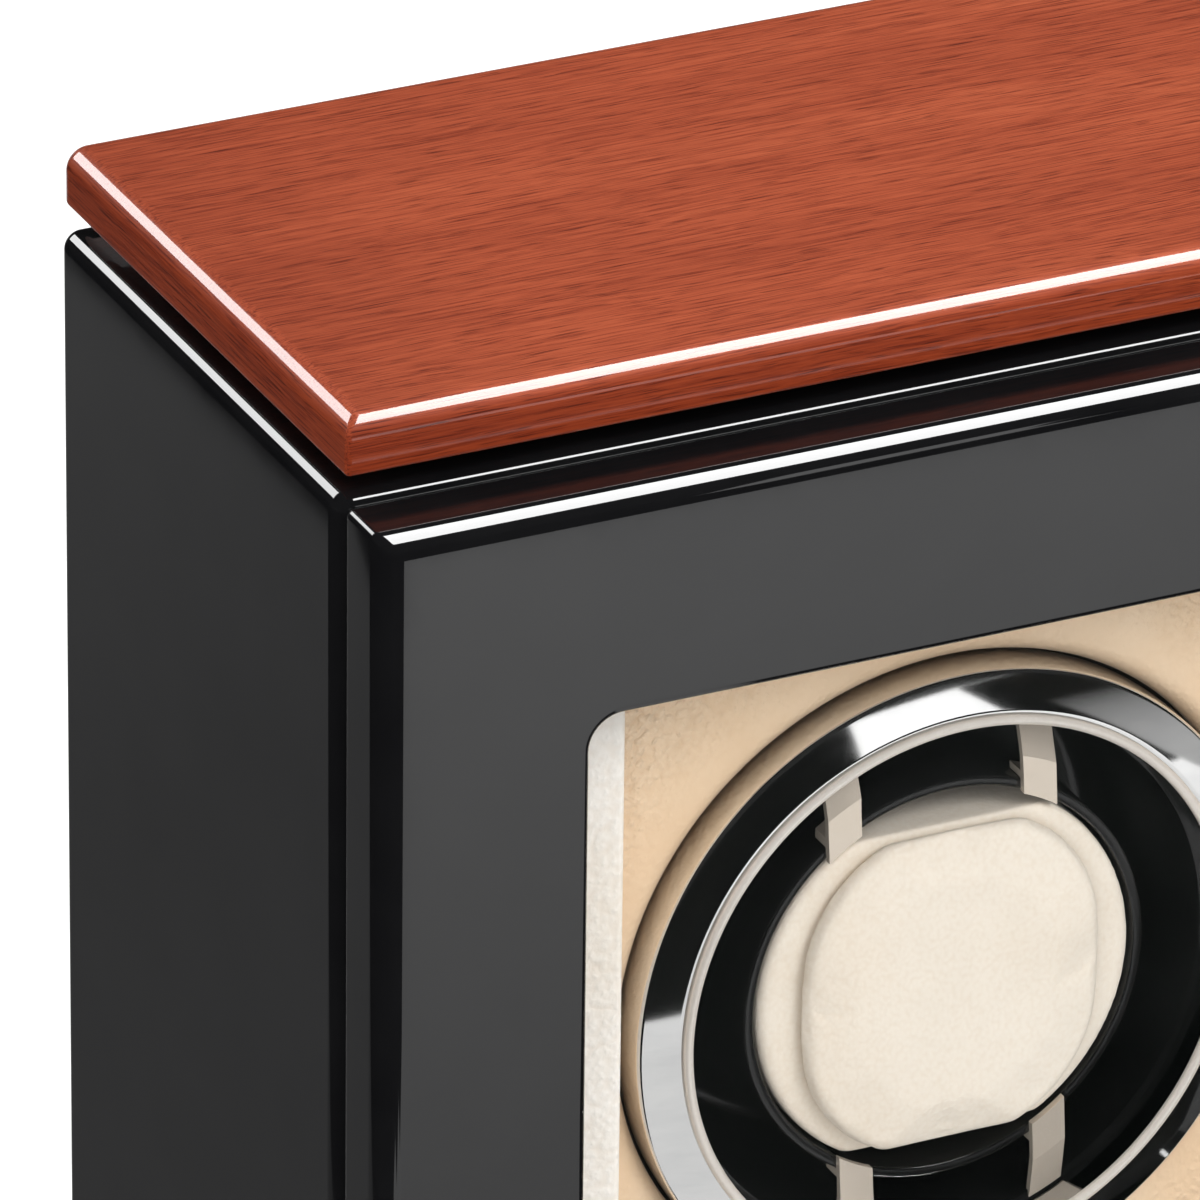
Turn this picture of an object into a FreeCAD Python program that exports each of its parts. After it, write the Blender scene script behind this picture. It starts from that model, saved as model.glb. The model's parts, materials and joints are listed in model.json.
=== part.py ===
import FreeCAD, Part
import math
import os
import re
import Sketcher
from FreeCAD import Placement, Rotation, Vector

# Watch winder box: a lacquered case with a wood top, a glazed door and one belt-driven rotor.
# Frame: +X right, +Y back, +Z up, millimetres; the origin is the middle of the footprint at floor level.

os.makedirs("parts", exist_ok=True)
doc = FreeCAD.newDocument("watch_winder")
sheet = doc.addObject("Spreadsheet::Sheet", "dims")

SIZES = {
    # case
    "case_width": 238,
    "case_height": 240,
    "case_depth": 114.5,
    "board": 10,
    "case_round": 3.5,
    "foot_height": 4,
    "foot_radius": 9,
    "foot_inset": 20,
    "fit_gap": 0.3,
    # wood top over its shadow gap
    "top_thickness": 10.4,
    "top_gap": 4.3,
    "top_overhang": 1.5,
    "top_back_overhang": 2,
    "top_inset": 1,
    "top_round": 4.4,
    "top_under_round": 1,
    "spacer_inset": 16,
    # door
    "door_thickness": 14.5,
    "door_gap": 2.5,
    "door_round": 4,
    "door_back_round": 2,
    "window": 162,
    "window_corner": 8,
    "window_round": 1.5,
    "glass_inset": 6,
    "glass_thickness": 2.5,
    "rebate": 4,
    "retainer_depth": 4,
    "magnet_radius": 3.5,
    "magnet_thickness": 3,
    "magnet_inset": 5.5,
    "bumper_radius": 3,
    "bumper_thickness": 2.3,
    "bumper_spread": 198,
    # hinges
    "hinge_spread": 170,
    "hinge_height": 30,
    "knuckle_radius": 1.4,
    "knuckle_height": 10,
    "knuckle_play": 0.2,
    "knuckle_inset": 0.4,
    "leaf_thickness": 0.8,
    "leaf_inset": 9.5,
    "pin_radius": 0.7,
    "pin_play": 0.05,
    "pin_head_radius": 1.2,
    "pin_head": 0.6,
    "leaf_screw_radius": 0.8,
    "leaf_screw_length": 7,
    "leaf_screw_head_radius": 1.6,
    "leaf_screw_head": 0.5,
    "leaf_screw_spread": 18,
    "leaf_screw_inset": 5.5,
    # liner and rotor panel
    "liner_inset": 0.5,
    "liner_depth": 11.5,
    "liner_opening_width": 132,
    "liner_opening_height": 172,
    "liner_round": 1.5,
    "rotor_panel": 5,
    "rotor_hole_radius": 60.8,
    "rotor_hole_round": 4,
    # bezel
    "lip_set_back": 5,
    "bezel_radius": 59.9,
    "bezel_inner": 50.4,
    "bezel_bead": 1,
    "bezel_face_drop": 2.2,
    "bezel_wall": 8,
    "bezel_skirt": 14,
    "bezel_skirt_wall": 1.2,
    "bezel_round": 0.8,
    # bowl and inner cup
    "bowl_inner": 49.4,
    "bowl_wall": 2.5,
    "bowl_floor": 3,
    "bowl_rim_play": 0.1,
    "cup_set_back": 7,
    "cup_inner": 36,
    "cup_wall": 2,
    # cushion and its clips
    "flange_radius": 35.4,
    "flange_set_back": 6.4,
    "flange_round": 1,
    "flat_height": 60,
    "pillow_half_width": 28.5,
    "pillow_half_height": 32,
    "pillow_corner": 26,
    "pillow_rise": 4.8,
    "pillow_crown_radius": 260,
    "pillow_round": 2,
    "cushion_play": 0.1,
    "clip_width": 6.2,
    "clip_thickness": 1.3,
    "clip_leg": 4,
    "clip_inner": 35.8,
    "clip_place": 18.4,
    "clip_turn": -3,
    # rotor shaft, pulleys and belt
    "shaft_radius": 4,
    "hub_radius": 14,
    "hub_thickness": 3,
    "shaft_length": 33,
    "shaft_groove_radius": 3.4,
    "retaining_clip_radius": 7,
    "retaining_clip": 1.2,
    "pulley_width": 9,
    "pulley_apart": 10.4,
    "groove_depth": 2.6,
    "groove_width": 4.2,
    "belt_width": 3.6,
    "belt_thickness": 1.6,
    "belt_play": 0.1,
    "belt_ratio": 6,
    "motor_pulley_radius": 8.6,
    "press_play": 0.02,
    "running_play": 0.05,
    # drive board, bush and motor
    "drive_board": 6,
    "bush_stand": 5,
    "cleat_width": 14,
    "bush_radius": 8,
    "bush_flange_radius": 11,
    "bush_tail": 5,
    "motor_radius": 14,
    "motor_length": 17,
    "motor_clearance": 4,
    "motor_stand": 3,
    "motor_boss_radius": 5,
    "motor_boss": 4,
    "motor_shaft_radius": 1.5,
    "motor_shaft_seat": 8,
    "motor_screw_spread": 20,
    # rear cover and controls
    "rear_cover": 4,
    "rear_inset": 12,
    "control_height": 34,
    "circuit": 1.6,
    "circuit_stand": 9.4,
    "circuit_left": 62,
    "circuit_right": 60,
    "circuit_height": 24,
    "standoff_radius": 2,
    "standoff_inset": 3,
    "inlet_place": -45,
    "inlet_radius": 5.5,
    "inlet_bore": 2.8,
    "inlet_bore_depth": 9,
    "inlet_body": 12,
    "inlet_stand": 1.5,
    "switch_place": 0,
    "switch_length": 19,
    "switch_height": 13,
    "switch_rim": 1.2,
    "switch_wall": 1.4,
    "rocker_depth": 6,
    "rocker_proud": 2.2,
    "rocker_dish": 40,
    "rocker_tip": 6,
    "rocker_pivot": 2,
    "trunnion_radius": 0.8,
    "trunnion_length": 0.8,
    "trunnion_fit": 0.05,
    "selector_place": 42,
    "selector_body": 16,
    "selector_bushing": 5,
    "knob_radius": 9,
    "knob_height": 8,
    "knob_stem_radius": 3,
    "knob_stem": 10,
    "knob_mark_width": 1.2,
    "knob_round": 0.8,
    # wood screws
    "screw_radius": 1.5,
    "screw_head_radius": 3,
    "screw_head": 2,
    "screw_length": 16,
    "top_screw_length": 20,
    "top_screw_inset": 16,
    "top_screw_margin": 30,
    "board_screw_inset": 45,
    "cover_screw_inset": 25,
}

# Places worked out from the sizes above.
PLACES = {
    "half_width": "case_width / 2",
    "inside": "case_width / 2 - board",
    "door_front": "-(case_depth + top_back_overhang + door_gap + door_thickness) / 2",
    "door_back": "door_front + door_thickness",
    "case_front": "door_back + door_gap",
    "case_back": "case_front + case_depth",
    "case_base": "foot_height",
    "case_top": "case_base + case_height",
    "floor_inside": "case_base + board",
    "roof_inside": "case_top - board",
    "axis_height": "case_base + case_height / 2",
    "top_base": "case_top + top_gap",
    "glass_front": "door_front + glass_inset",
    "glass_back": "glass_front + glass_thickness",
    "liner_front": "case_front + liner_inset",
    "rotor_panel_front": "liner_front + liner_depth",
    "lip_front": "case_front + lip_set_back",
    "cover_back": "case_back - rear_inset",
    "cover_front": "cover_back - rear_cover",
    "drive_back": "cover_front - motor_length - motor_clearance",
    "drive_front": "drive_back - drive_board",
    "pulley_back": "drive_front - bush_stand",
    "pulley_front": "pulley_back - pulley_width",
    "bowl_back": "pulley_front - hub_thickness",
    "bowl_front": "lip_front + bezel_wall",
    "bowl_depth": "bowl_back - bowl_floor - bowl_front",
    "cup_front": "lip_front + cup_set_back",
    "cup_length": "bowl_front + bowl_depth - cup_front",
    "flange_front": "lip_front + flange_set_back",
    "pillow_front": "flange_front - pillow_rise",
    "bush_front": "pulley_back + fit_gap",
    "bush_back": "drive_back + bush_tail",
    "clip_front": "bush_back + fit_gap",
    "controls": "case_base + control_height",
    "circuit_front": "cover_front - circuit_stand - circuit",
    "circuit_back": "circuit_front + circuit",
    "motor_height": "controls + circuit_height / 2 + motor_stand + motor_radius",
    "motor_drop": "axis_height - motor_height",
    "pulley_radius": "motor_drop - motor_pulley_radius - pulley_apart",
    "pulley_groove_radius": "pulley_radius - groove_depth",
    "belt_pitch": "belt_play + belt_thickness / 2",
    "motor_groove_radius": "(pulley_groove_radius + belt_pitch) / belt_ratio - belt_pitch",
    "hinge_axis_x": "half_width - knuckle_inset",
    "hinge_axis_y": "door_back + door_gap / 2",
}

for row, (alias, value) in enumerate({**SIZES, **PLACES}.items(), start=1):
    sheet.set(f"A{row}", alias)
    sheet.set(f"B{row}", f"={value}" if alias in PLACES else str(value))
    sheet.setAlias(f"B{row}", alias)
doc.recompute()

NAMES = set(SIZES) | set(PLACES)


def size(alias):
    """A value of the sheet as a plain number."""
    return float(sheet.get(alias))


def formula(text):
    """The text with each alias named in full, for use as an expression."""
    return re.sub(r"[a-z_]+", lambda m: f"dims.{m[0]}" if m[0] in NAMES else m[0], str(text))


def bind(thing, **properties):
    for prop, text in properties.items():
        thing.setExpression(prop.replace("__", "."), formula(text))
    return thing


def place(thing, x=0, y=0, z=0):
    """Bind the place of an object to expressions."""
    return bind(thing, Placement__Base__x=x, Placement__Base__y=y, Placement__Base__z=z)


# Simple solids, bound to the sheet

def box(name, x, y, z):
    """A box between pairs of expressions."""
    solid = doc.addObject("Part::Box", name)
    bind(solid, Length=f"({x[1]}) - ({x[0]})", Width=f"({y[1]}) - ({y[0]})", Height=f"({z[1]}) - ({z[0]})")
    return place(solid, x[0], y[0], z[0])


def rod_y(name, radius, x, y, z):
    """A cylinder along +Y between a pair of expressions."""
    solid = doc.addObject("Part::Cylinder", name)
    bind(solid, Radius=radius, Height=f"({y[1]}) - ({y[0]})")
    solid.Placement = Placement(Vector(), Rotation(Vector(1, 0, 0), -90))
    return place(solid, x, y[0], z)


def rod_z(name, radius, x, y, z):
    """A cylinder along +Z between a pair of expressions."""
    solid = doc.addObject("Part::Cylinder", name)
    bind(solid, Radius=radius, Height=f"({z[1]}) - ({z[0]})")
    return place(solid, x, y, z[0])


def fuse(name, shapes):
    joined = doc.addObject("Part::MultiFuse", name)
    joined.Shapes = shapes
    joined.Refine = True
    return joined


def common(name, shapes):
    shared = doc.addObject("Part::MultiCommon", name)
    shared.Shapes = shapes
    return shared


def cut(name, base, tools):
    tool = tools[0] if len(tools) == 1 else fuse(f"{name}_tools", tools)
    left = doc.addObject("Part::Cut", name)
    left.Base = base
    left.Tool = tool
    return left


def group(name, solids):
    """Separate solids kept together as one sub-part."""
    together = doc.addObject("Part::Compound", name)
    together.Links = solids
    return together


def rounded(name, base, radius, pick):
    """A fillet of the sheet's radius on every edge that pick accepts."""
    doc.recompute()
    fillet = doc.addObject("Part::Fillet", name)
    fillet.Base = base
    value = size(radius)
    fillet.Edges = [
        (index, value, value) for index, edge in enumerate(base.Shape.Edges, start=1) if pick(edge)
    ]
    return fillet


def along(edge, axis):
    """Whether a straight edge runs along a world axis, given as 0, 1 or 2."""
    if not isinstance(edge.Curve, (Part.Line, Part.LineSegment)):
        return False
    return abs(edge.tangentAt(edge.FirstParameter)[axis]) > 0.999


def lies(edge, axis, value):
    """Whether a whole edge lies in the plane where the axis has this value."""
    bounds = edge.BoundBox
    low = (bounds.XMin, bounds.YMin, bounds.ZMin)[axis]
    high = (bounds.XMax, bounds.YMax, bounds.ZMax)[axis]
    return abs(low - value) < 1e-3 and abs(high - value) < 1e-3


# Sketched solids

def origin_plane(body, role):
    return next(item for item in body.Origin.OriginFeatures if item.Role == role)


def sketch_in(body, name, role, offset="0"):
    """A sketch on one of the body's own planes, moved along the plane's normal."""
    sketch = body.newObject("Sketcher::SketchObject", name)
    sketch.AttachmentSupport = [(origin_plane(body, role), "")]
    sketch.MapMode = "FlatFace"
    bind(sketch, AttachmentOffset__Base__z=offset)
    return sketch


def evaluate(text):
    """The present value of an expression made from the sheet."""
    return float(sheet.evalExpression(formula(text)))


def constrain(sketch, kind, refs, text):
    index = sketch.addConstraint(Sketcher.Constraint(kind, *refs, evaluate(text)))
    sketch.setExpression(f"Constraints[{index}]", formula(text))


def rectangle(sketch, width, height, middle="0"):
    """A rectangle of the given size, centred across on the sketch's own axis at a height."""
    half_x, half_y, up = evaluate(width) / 2, evaluate(height) / 2, evaluate(middle)
    corners = [(-half_x, up - half_y), (half_x, up - half_y), (half_x, up + half_y), (-half_x, up + half_y)]
    first = sketch.GeometryCount
    for start, end in zip(corners, corners[1:] + corners[:1]):
        sketch.addGeometry(Part.LineSegment(Vector(*start, 0), Vector(*end, 0)))
    for side in range(4):
        after = (side + 1) % 4
        sketch.addConstraint(Sketcher.Constraint("Coincident", first + side, 2, first + after, 1))
        if side:  # the first side is level because its ends are mirrored
            sketch.addConstraint(Sketcher.Constraint("Vertical" if side % 2 else "Horizontal", first + side))
    sketch.addConstraint(Sketcher.Constraint("Symmetric", first, 1, first, 2, -2))
    constrain(sketch, "DistanceX", (first, 1, first, 2), width)
    constrain(sketch, "DistanceY", (first + 1, 1, first + 1, 2), height)
    constrain(sketch, "DistanceY", (-1, 1, first + 1, 1), f"({middle}) - ({height}) / 2")


def slab(name, width, height, front, thickness, middle="axis_height"):
    """A body padded backwards from an upright rectangle."""
    body = doc.addObject("PartDesign::Body", name)
    sketch = sketch_in(body, f"{name}_outline", "XZ_Plane", f"-({front})")
    rectangle(sketch, width, height, middle)
    pad = body.newObject("PartDesign::Pad", f"{name}_pad")
    pad.Profile = sketch
    pad.Reversed = True
    bind(pad, Length=thickness)
    doc.recompute()
    return body


def opening(body, name, width, height, front, depth, middle="axis_height"):
    """Cut an upright rectangle backwards into a body."""
    sketch = sketch_in(body, f"{name}_outline", "XZ_Plane", f"-({front})")
    rectangle(sketch, width, height, middle)
    pocket = body.newObject("PartDesign::Pocket", name)
    pocket.Profile = sketch
    bind(pocket, Length=depth)
    doc.recompute()
    return pocket


def soften(body, name, radius, pick):
    """Round the picked edges of a body's tip."""
    doc.recompute()
    tip = body.Tip
    edges = [f"Edge{i}" for i, edge in enumerate(tip.Shape.Edges, start=1) if pick(edge)]
    fillet = body.newObject("PartDesign::Fillet", name)
    fillet.Base = (tip, edges)
    bind(fillet, Radius=radius)
    doc.recompute()
    return fillet


def turned(name, outline):
    """A body turned about its own Y axis from points given as (radius, length from its front)."""
    body = doc.addObject("PartDesign::Body", name)
    sketch = sketch_in(body, f"{name}_outline", "XY_Plane")
    points = [Vector(evaluate(radius), evaluate(length), 0) for radius, length in outline]
    for start, end in zip(points, points[1:] + points[:1]):
        sketch.addGeometry(Part.LineSegment(start, end))
    count = len(points)
    for side in range(count):
        sketch.addConstraint(Sketcher.Constraint("Coincident", side, 2, (side + 1) % count, 1))
    for side, (radius, length) in enumerate(outline):
        for kind, text, axis in (("DistanceX", radius, -2), ("DistanceY", length, -1)):
            if abs(evaluate(text)) < 1e-9:
                sketch.addConstraint(Sketcher.Constraint("PointOnObject", side, 1, axis))
            else:
                constrain(sketch, kind, (-1, 1, side, 1), text)
    turn = body.newObject("PartDesign::Revolution", f"{name}_turn")
    turn.Profile = sketch
    turn.ReferenceAxis = (sketch, ["V_Axis"])
    turn.Angle = 360
    doc.recompute()
    return body


nodes = {}


def node(name, thing):
    """Name a finished sub-part."""
    thing.Label = name
    nodes[name] = thing
    return thing


SIDES = {"left": -1, "right": 1}


# Case boards

def case_side(name, sign, extra_cuts):
    low, high = ("-half_width", "-inside") if sign < 0 else ("inside", "half_width")
    plain = box(f"{name}_board", (low, high), ("case_front", "case_back"), ("case_base", "case_top"))
    doc.recompute()
    outer = sign * size("half_width")
    soft = rounded(f"{name}_round", plain, "case_round", lambda edge: lies(edge, 0, outer) or along(edge, 0))
    return node(name, cut(name, soft, extra_cuts) if extra_cuts else soft)


magnet_x = "-(half_width - magnet_inset)"
magnet_seat = rod_y("case_magnet_seat", "magnet_radius", magnet_x,
                    ("case_front", "case_front + magnet_thickness"), "axis_height")
hinge_heights = {"lower": "axis_height - hinge_spread / 2", "upper": "axis_height + hinge_spread / 2"}
leaf_screw_x = "half_width - leaf_screw_inset"
leaf_screw_heights = [
    f"{middle} {sign} leaf_screw_spread / 2" for middle in hinge_heights.values() for sign in "-+"
]
case_leaf_face = "case_front - leaf_thickness"
door_leaf_face = "door_back + leaf_thickness"


def leaf_screw_rods(name, radius, start, end):
    return [
        rod_y(f"{name}_{index}", radius, leaf_screw_x, (start, end), height)
        for index, height in enumerate(leaf_screw_heights)
    ]


case_side("carcass_left", -1, [magnet_seat])
case_side("carcass_right", 1, leaf_screw_rods(
    "case_leaf_pilot", "leaf_screw_radius", "case_front - leaf_thickness", "case_front + leaf_screw_length"))

top_screw_depths = [
    "case_front + spacer_inset + top_screw_inset",
    "case_back - spacer_inset - top_screw_inset",
]
top_screw_places = [
    (f"{across} * (inside - top_screw_margin)", depth) for across in (-1, 1) for depth in top_screw_depths
]


def top_screw_rods(name, radius, low, high):
    return [
        rod_z(f"{name}_{index}", radius, x, y, (low, high)) for index, (x, y) in enumerate(top_screw_places)
    ]



def level_board(name, span, outer):
    """A roof or floor board with its outer long edges rounded like the sides."""
    plain = box(f"{name}_board", ("-inside", "inside"), ("case_front", "case_back"), span)
    doc.recompute()
    face = size(outer)
    return rounded(f"{name}_soft", plain, "case_round", lambda edge: along(edge, 0) and lies(edge, 2, face))


roof = level_board("roof", ("roof_inside", "case_top"), "case_top")
node("carcass_top", cut("carcass_top", roof, top_screw_rods(
    "roof_pilot", "screw_radius + press_play", "roof_inside", "case_top")))
node("carcass_bottom", level_board("floor", ("case_base", "floor_inside"), "case_base"))

FOOT_ENDS = {"front": "case_front + foot_inset", "back": "case_back - foot_inset"}
for side, across in SIDES.items():
    for end, foot_y in FOOT_ENDS.items():
        foot = rod_z(f"foot_{end}_{side}_disc", "foot_radius", f"{across} * (half_width - foot_inset)",
                     foot_y, ("0", "foot_height"))
        doc.recompute()
        node(f"foot_{end}_{side}", rounded(f"foot_{end}_{side}", foot, "fit_gap",
                                           lambda edge: lies(edge, 2, 0)))

# Wood top on its recessed spacer

spacer = box("spacer_board", ("-half_width + spacer_inset", "half_width - spacer_inset"),
             ("case_front + spacer_inset", "case_back - spacer_inset"), ("case_top", "top_base"))
node("top_spacer", cut("top_spacer", spacer, top_screw_rods(
    "spacer_pilot", "screw_radius + press_play", "case_top", "top_base")))

top_reach = "roof_inside + top_screw_length"
top_plain = box("top_plain", ("-half_width + top_inset", "half_width - top_inset"),
                ("case_front - top_overhang", "case_back + top_back_overhang"),
                ("top_base", "top_base + top_thickness"))
doc.recompute()
underside = size("top_base")
top_over = rounded("top_over", top_plain, "top_round", lambda edge: not lies(edge, 2, underside))
doc.recompute()
top_soft = rounded("top_soft", top_over, "top_under_round", lambda edge: lies(edge, 2, underside))
node("wood_top", cut("wood_top", top_soft, top_screw_rods(
    "top_pilot", "screw_radius", "top_base", top_reach)))

node("top_screws", group("top_screws", [
    fuse(f"top_screw_{index}", [
        rod_z(f"top_shank_{index}", "screw_radius", x, y, ("roof_inside", top_reach)),
        rod_z(f"top_head_{index}", "screw_head_radius", x, y, ("roof_inside - screw_head", "roof_inside")),
    ])
    for index, (x, y) in enumerate(top_screw_places)
]))

# Liner frame and rotor panel

liner = slab("liner_frame", "2 * inside", "case_height - 2 * board", "liner_front", "liner_depth")
opening(liner, "liner_opening", "liner_opening_width", "liner_opening_height", "liner_front", "liner_depth")
liner_edge_front = size("liner_front")
soften(liner, "liner_soft", "liner_round", lambda edge: lies(edge, 1, liner_edge_front)
       and abs(edge.CenterOfMass.x) < size("liner_opening_width") / 2 + 1
       and abs(edge.CenterOfMass.z - size("axis_height")) < size("liner_opening_height") / 2 + 1)
node("liner_frame", liner)

backing = slab("rotor_backing", "2 * inside", "case_height - 2 * board", "rotor_panel_front", "rotor_panel")
hole_sketch = sketch_in(backing, "rotor_hole_outline", "XZ_Plane", "-(rotor_panel_front)")
hole_sketch.addGeometry(Part.Circle(Vector(0, size("axis_height"), 0), Vector(0, 0, 1),
                                    size("rotor_hole_radius")))
hole_sketch.addConstraint(Sketcher.Constraint("PointOnObject", 0, 3, -2))
constrain(hole_sketch, "DistanceY", (-1, 1, 0, 3), "axis_height")
constrain(hole_sketch, "Radius", (0,), "rotor_hole_radius")
hole = backing.newObject("PartDesign::Pocket", "rotor_hole")
hole.Profile = hole_sketch
bind(hole, Length="rotor_panel")
doc.recompute()
panel_face = size("rotor_panel_front")
soften(backing, "rotor_hole_soft", "rotor_hole_round", lambda edge: lies(edge, 1, panel_face)
       and isinstance(edge.Curve, Part.Circle))
node("rotor_panel", backing)

# Door frame with its glass

door = slab("door_frame", "case_width", "case_height", "door_front", "door_thickness")
opening(door, "door_window", "window", "window", "door_front", "door_thickness")
window_half = size("window") / 2
soften(door, "window_corners", "window_corner", lambda edge: along(edge, 1)
       and abs(edge.CenterOfMass.x) < window_half + 1)
opening(door, "glass_rebate", "window + 2 * rebate", "window + 2 * rebate", "glass_front",
        "door_back - glass_front")
door_edge = size("half_width")
door_face = size("door_front")
door_rear = size("door_back")
middle = size("axis_height")
half_height = size("case_height") / 2


def on_outline(edge):
    """Whether an edge belongs to the outside outline of the door."""
    point = edge.CenterOfMass
    reach = 1.5 * size("door_round")
    return abs(point.x) > door_edge - reach or abs(point.z - middle) > half_height - reach


soften(door, "door_soft", "door_round", lambda edge: on_outline(edge)
       and (along(edge, 1) or lies(edge, 1, door_face)))
soften(door, "door_back_soft", "door_back_round", lambda edge: on_outline(edge) and lies(edge, 1, door_rear))
soften(door, "window_soft", "window_round", lambda edge: lies(edge, 1, door_face) and not on_outline(edge)
       and abs(edge.CenterOfMass.x) < window_half + 1 and abs(edge.CenterOfMass.z - middle) < window_half + 1)
door_magnet_span = ("door_back - magnet_thickness", "door_back")
node("door_frame", cut("door_frame_cut", door, [
    rod_y("door_magnet_seat", "magnet_radius", magnet_x, door_magnet_span, "axis_height"),
    *leaf_screw_rods("door_leaf_pilot", "leaf_screw_radius", "door_back - leaf_screw_length", "door_back"),
]))

glass_half = "window / 2 + rebate - fit_gap"
node("door_glass", box("door_glass", (f"-({glass_half})", glass_half), ("glass_front", "glass_back"),
                       (f"axis_height - ({glass_half})", f"axis_height + {glass_half}")))
glass_size = f"2 * ({glass_half})"
retainer = slab("glass_retainer", glass_size, glass_size, "glass_back", "retainer_depth")
opening(retainer, "retainer_opening", "window", "window", "glass_back", "retainer_depth")
node("glass_retainer", retainer)

node("door_magnet", rod_y("door_magnet", "magnet_radius", magnet_x, door_magnet_span, "axis_height"))
node("case_magnet", rod_y("case_magnet", "magnet_radius", magnet_x,
                          ("case_front", "case_front + magnet_thickness"), "axis_height"))
node("door_bumpers", group("door_bumpers", [
    rod_y(f"bumper_{index}", "bumper_radius", magnet_x, ("door_back", "door_back + bumper_thickness"),
          f"axis_height {sign} bumper_spread / 2")
    for index, sign in enumerate("-+")
]))

# Hinges: a middle knuckle on the case leaf, two outer knuckles on the door leaf

leaf_edge = "hinge_axis_x - knuckle_radius - fit_gap"
leaf_span = ("half_width - leaf_inset", leaf_edge)


def hinge_leaf(name, level, face, knuckles, head_face):
    """A leaf plate with its knuckles, bored for the pin and countersunk for two screws."""
    low, high = face
    plate_levels = (f"{level} - hinge_height / 2", f"{level} + hinge_height / 2")
    pieces = [box(f"{name}_plate", leaf_span, face, plate_levels)]
    for index, (start, end) in enumerate(knuckles):
        pieces.append(box(f"{name}_neck_{index}", (leaf_edge, "hinge_axis_x"), face, (start, end)))
        pieces.append(rod_z(f"{name}_knuckle_{index}", "knuckle_radius", "hinge_axis_x", "hinge_axis_y",
                            (start, end)))
    holes = [rod_z(f"{name}_bore", "pin_radius + pin_play", "hinge_axis_x", "hinge_axis_y", plate_levels)]
    for index, sign in enumerate("-+"):
        screw_z = f"{level} {sign} leaf_screw_spread / 2"
        holes.append(rod_y(f"{name}_hole_{index}", "leaf_screw_radius", leaf_screw_x, face, screw_z))
        holes.append(rod_y(f"{name}_sink_{index}", "leaf_screw_head_radius", leaf_screw_x,
                           head_face, screw_z))
    return cut(name, fuse(f"{name}_whole", pieces), holes)


case_head = (case_leaf_face, f"{case_leaf_face} + leaf_screw_head")
door_head = (f"{door_leaf_face} - leaf_screw_head", door_leaf_face)
for label, level in hinge_heights.items():
    half = "knuckle_height / 2"
    middle_knuckle = [(f"{level} - {half}", f"{level} + {half}")]
    outer_knuckles = [
        (f"{level} - hinge_height / 2", f"{level} - {half} - knuckle_play"),
        (f"{level} + {half} + knuckle_play", f"{level} + hinge_height / 2"),
    ]
    node(f"hinge_{label}_case_leaf", hinge_leaf(
        f"hinge_{label}_case_leaf", level, (case_leaf_face, "case_front"), middle_knuckle, case_head))
    node(f"hinge_{label}_door_leaf", hinge_leaf(
        f"hinge_{label}_door_leaf", level, ("door_back", door_leaf_face), outer_knuckles, door_head))
    pin_low = f"{level} - hinge_height / 2 - knuckle_play"
    pin_high = f"{level} + hinge_height / 2 + knuckle_play"
    node(f"hinge_{label}_pin", fuse(f"hinge_{label}_pin", [
        rod_z(f"pin_{label}_rod", "pin_radius", "hinge_axis_x", "hinge_axis_y", (pin_low, pin_high)),
        rod_z(f"pin_{label}_foot", "pin_head_radius", "hinge_axis_x", "hinge_axis_y",
              (f"{pin_low} - pin_head", pin_low)),
        rod_z(f"pin_{label}_head", "pin_head_radius", "hinge_axis_x", "hinge_axis_y",
              (pin_high, f"{pin_high} + pin_head")),
    ]))


def leaf_screws(name, shank, head):
    screws = []
    for index, height in enumerate(leaf_screw_heights):
        screws.append(fuse(f"{name}_{index}", [
            rod_y(f"{name}_shank_{index}", "leaf_screw_radius", leaf_screw_x, shank, height),
            rod_y(f"{name}_head_{index}", "leaf_screw_head_radius", leaf_screw_x, head, height),
        ]))
    return node(name, group(name, screws))


leaf_screws("hinge_screws_case", (case_leaf_face, "case_front + leaf_screw_length"), case_head)
leaf_screws("hinge_screws_door", ("door_back - leaf_screw_length", door_leaf_face), door_head)

# Rotor: bezel, bowl and inner cup, all turned about the rotor's axis

bead_middle = "bezel_inner + bezel_bead"
bezel_ring = turned("bezel_ring", [
    ("bezel_inner", "bezel_bead"),
    ("bezel_inner + 2 * bezel_bead", "bezel_bead"),
    ("bezel_radius", "bezel_face_drop"),
    ("bezel_radius", "bezel_skirt"),
    ("bezel_radius - bezel_skirt_wall", "bezel_skirt"),
    ("bezel_radius - bezel_skirt_wall", "bezel_wall"),
    ("bezel_inner", "bezel_wall"),
])
ring_edge = size("bezel_radius")
soften(bezel_ring, "bezel_soft", "bezel_round", lambda edge: isinstance(edge.Curve, Part.Circle)
       and abs(edge.Curve.Radius - ring_edge) < 1e-3
       and abs(edge.CenterOfMass.y - size("bezel_face_drop")) < 1e-3)
bead = doc.addObject("Part::Torus", "bezel_lip")
bind(bead, Radius1=bead_middle, Radius2="bezel_bead")
bead.Placement = Placement(Vector(), Rotation(Vector(1, 0, 0), -90))
bind(bead, Placement__Base__y="bezel_bead")
node("bezel", place(fuse("bezel", [bezel_ring, bead]), 0, "lip_front", "axis_height"))

rim_radius = "bezel_radius - bezel_skirt_wall - bowl_rim_play"
bowl_end = "bowl_depth + bowl_floor"
bowl = turned("rotor_bowl", [
    ("bowl_inner", "0"),
    (rim_radius, "0"),
    (rim_radius, "bowl_floor"),
    ("bowl_inner + bowl_wall", "bowl_floor"),
    ("bowl_inner + bowl_wall", bowl_end),
    ("0", bowl_end),
    ("0", "bowl_depth"),
    ("bowl_inner", "bowl_depth"),
])
node("rotor_bowl", place(bowl, 0, "bowl_front", "axis_height"))

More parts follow.
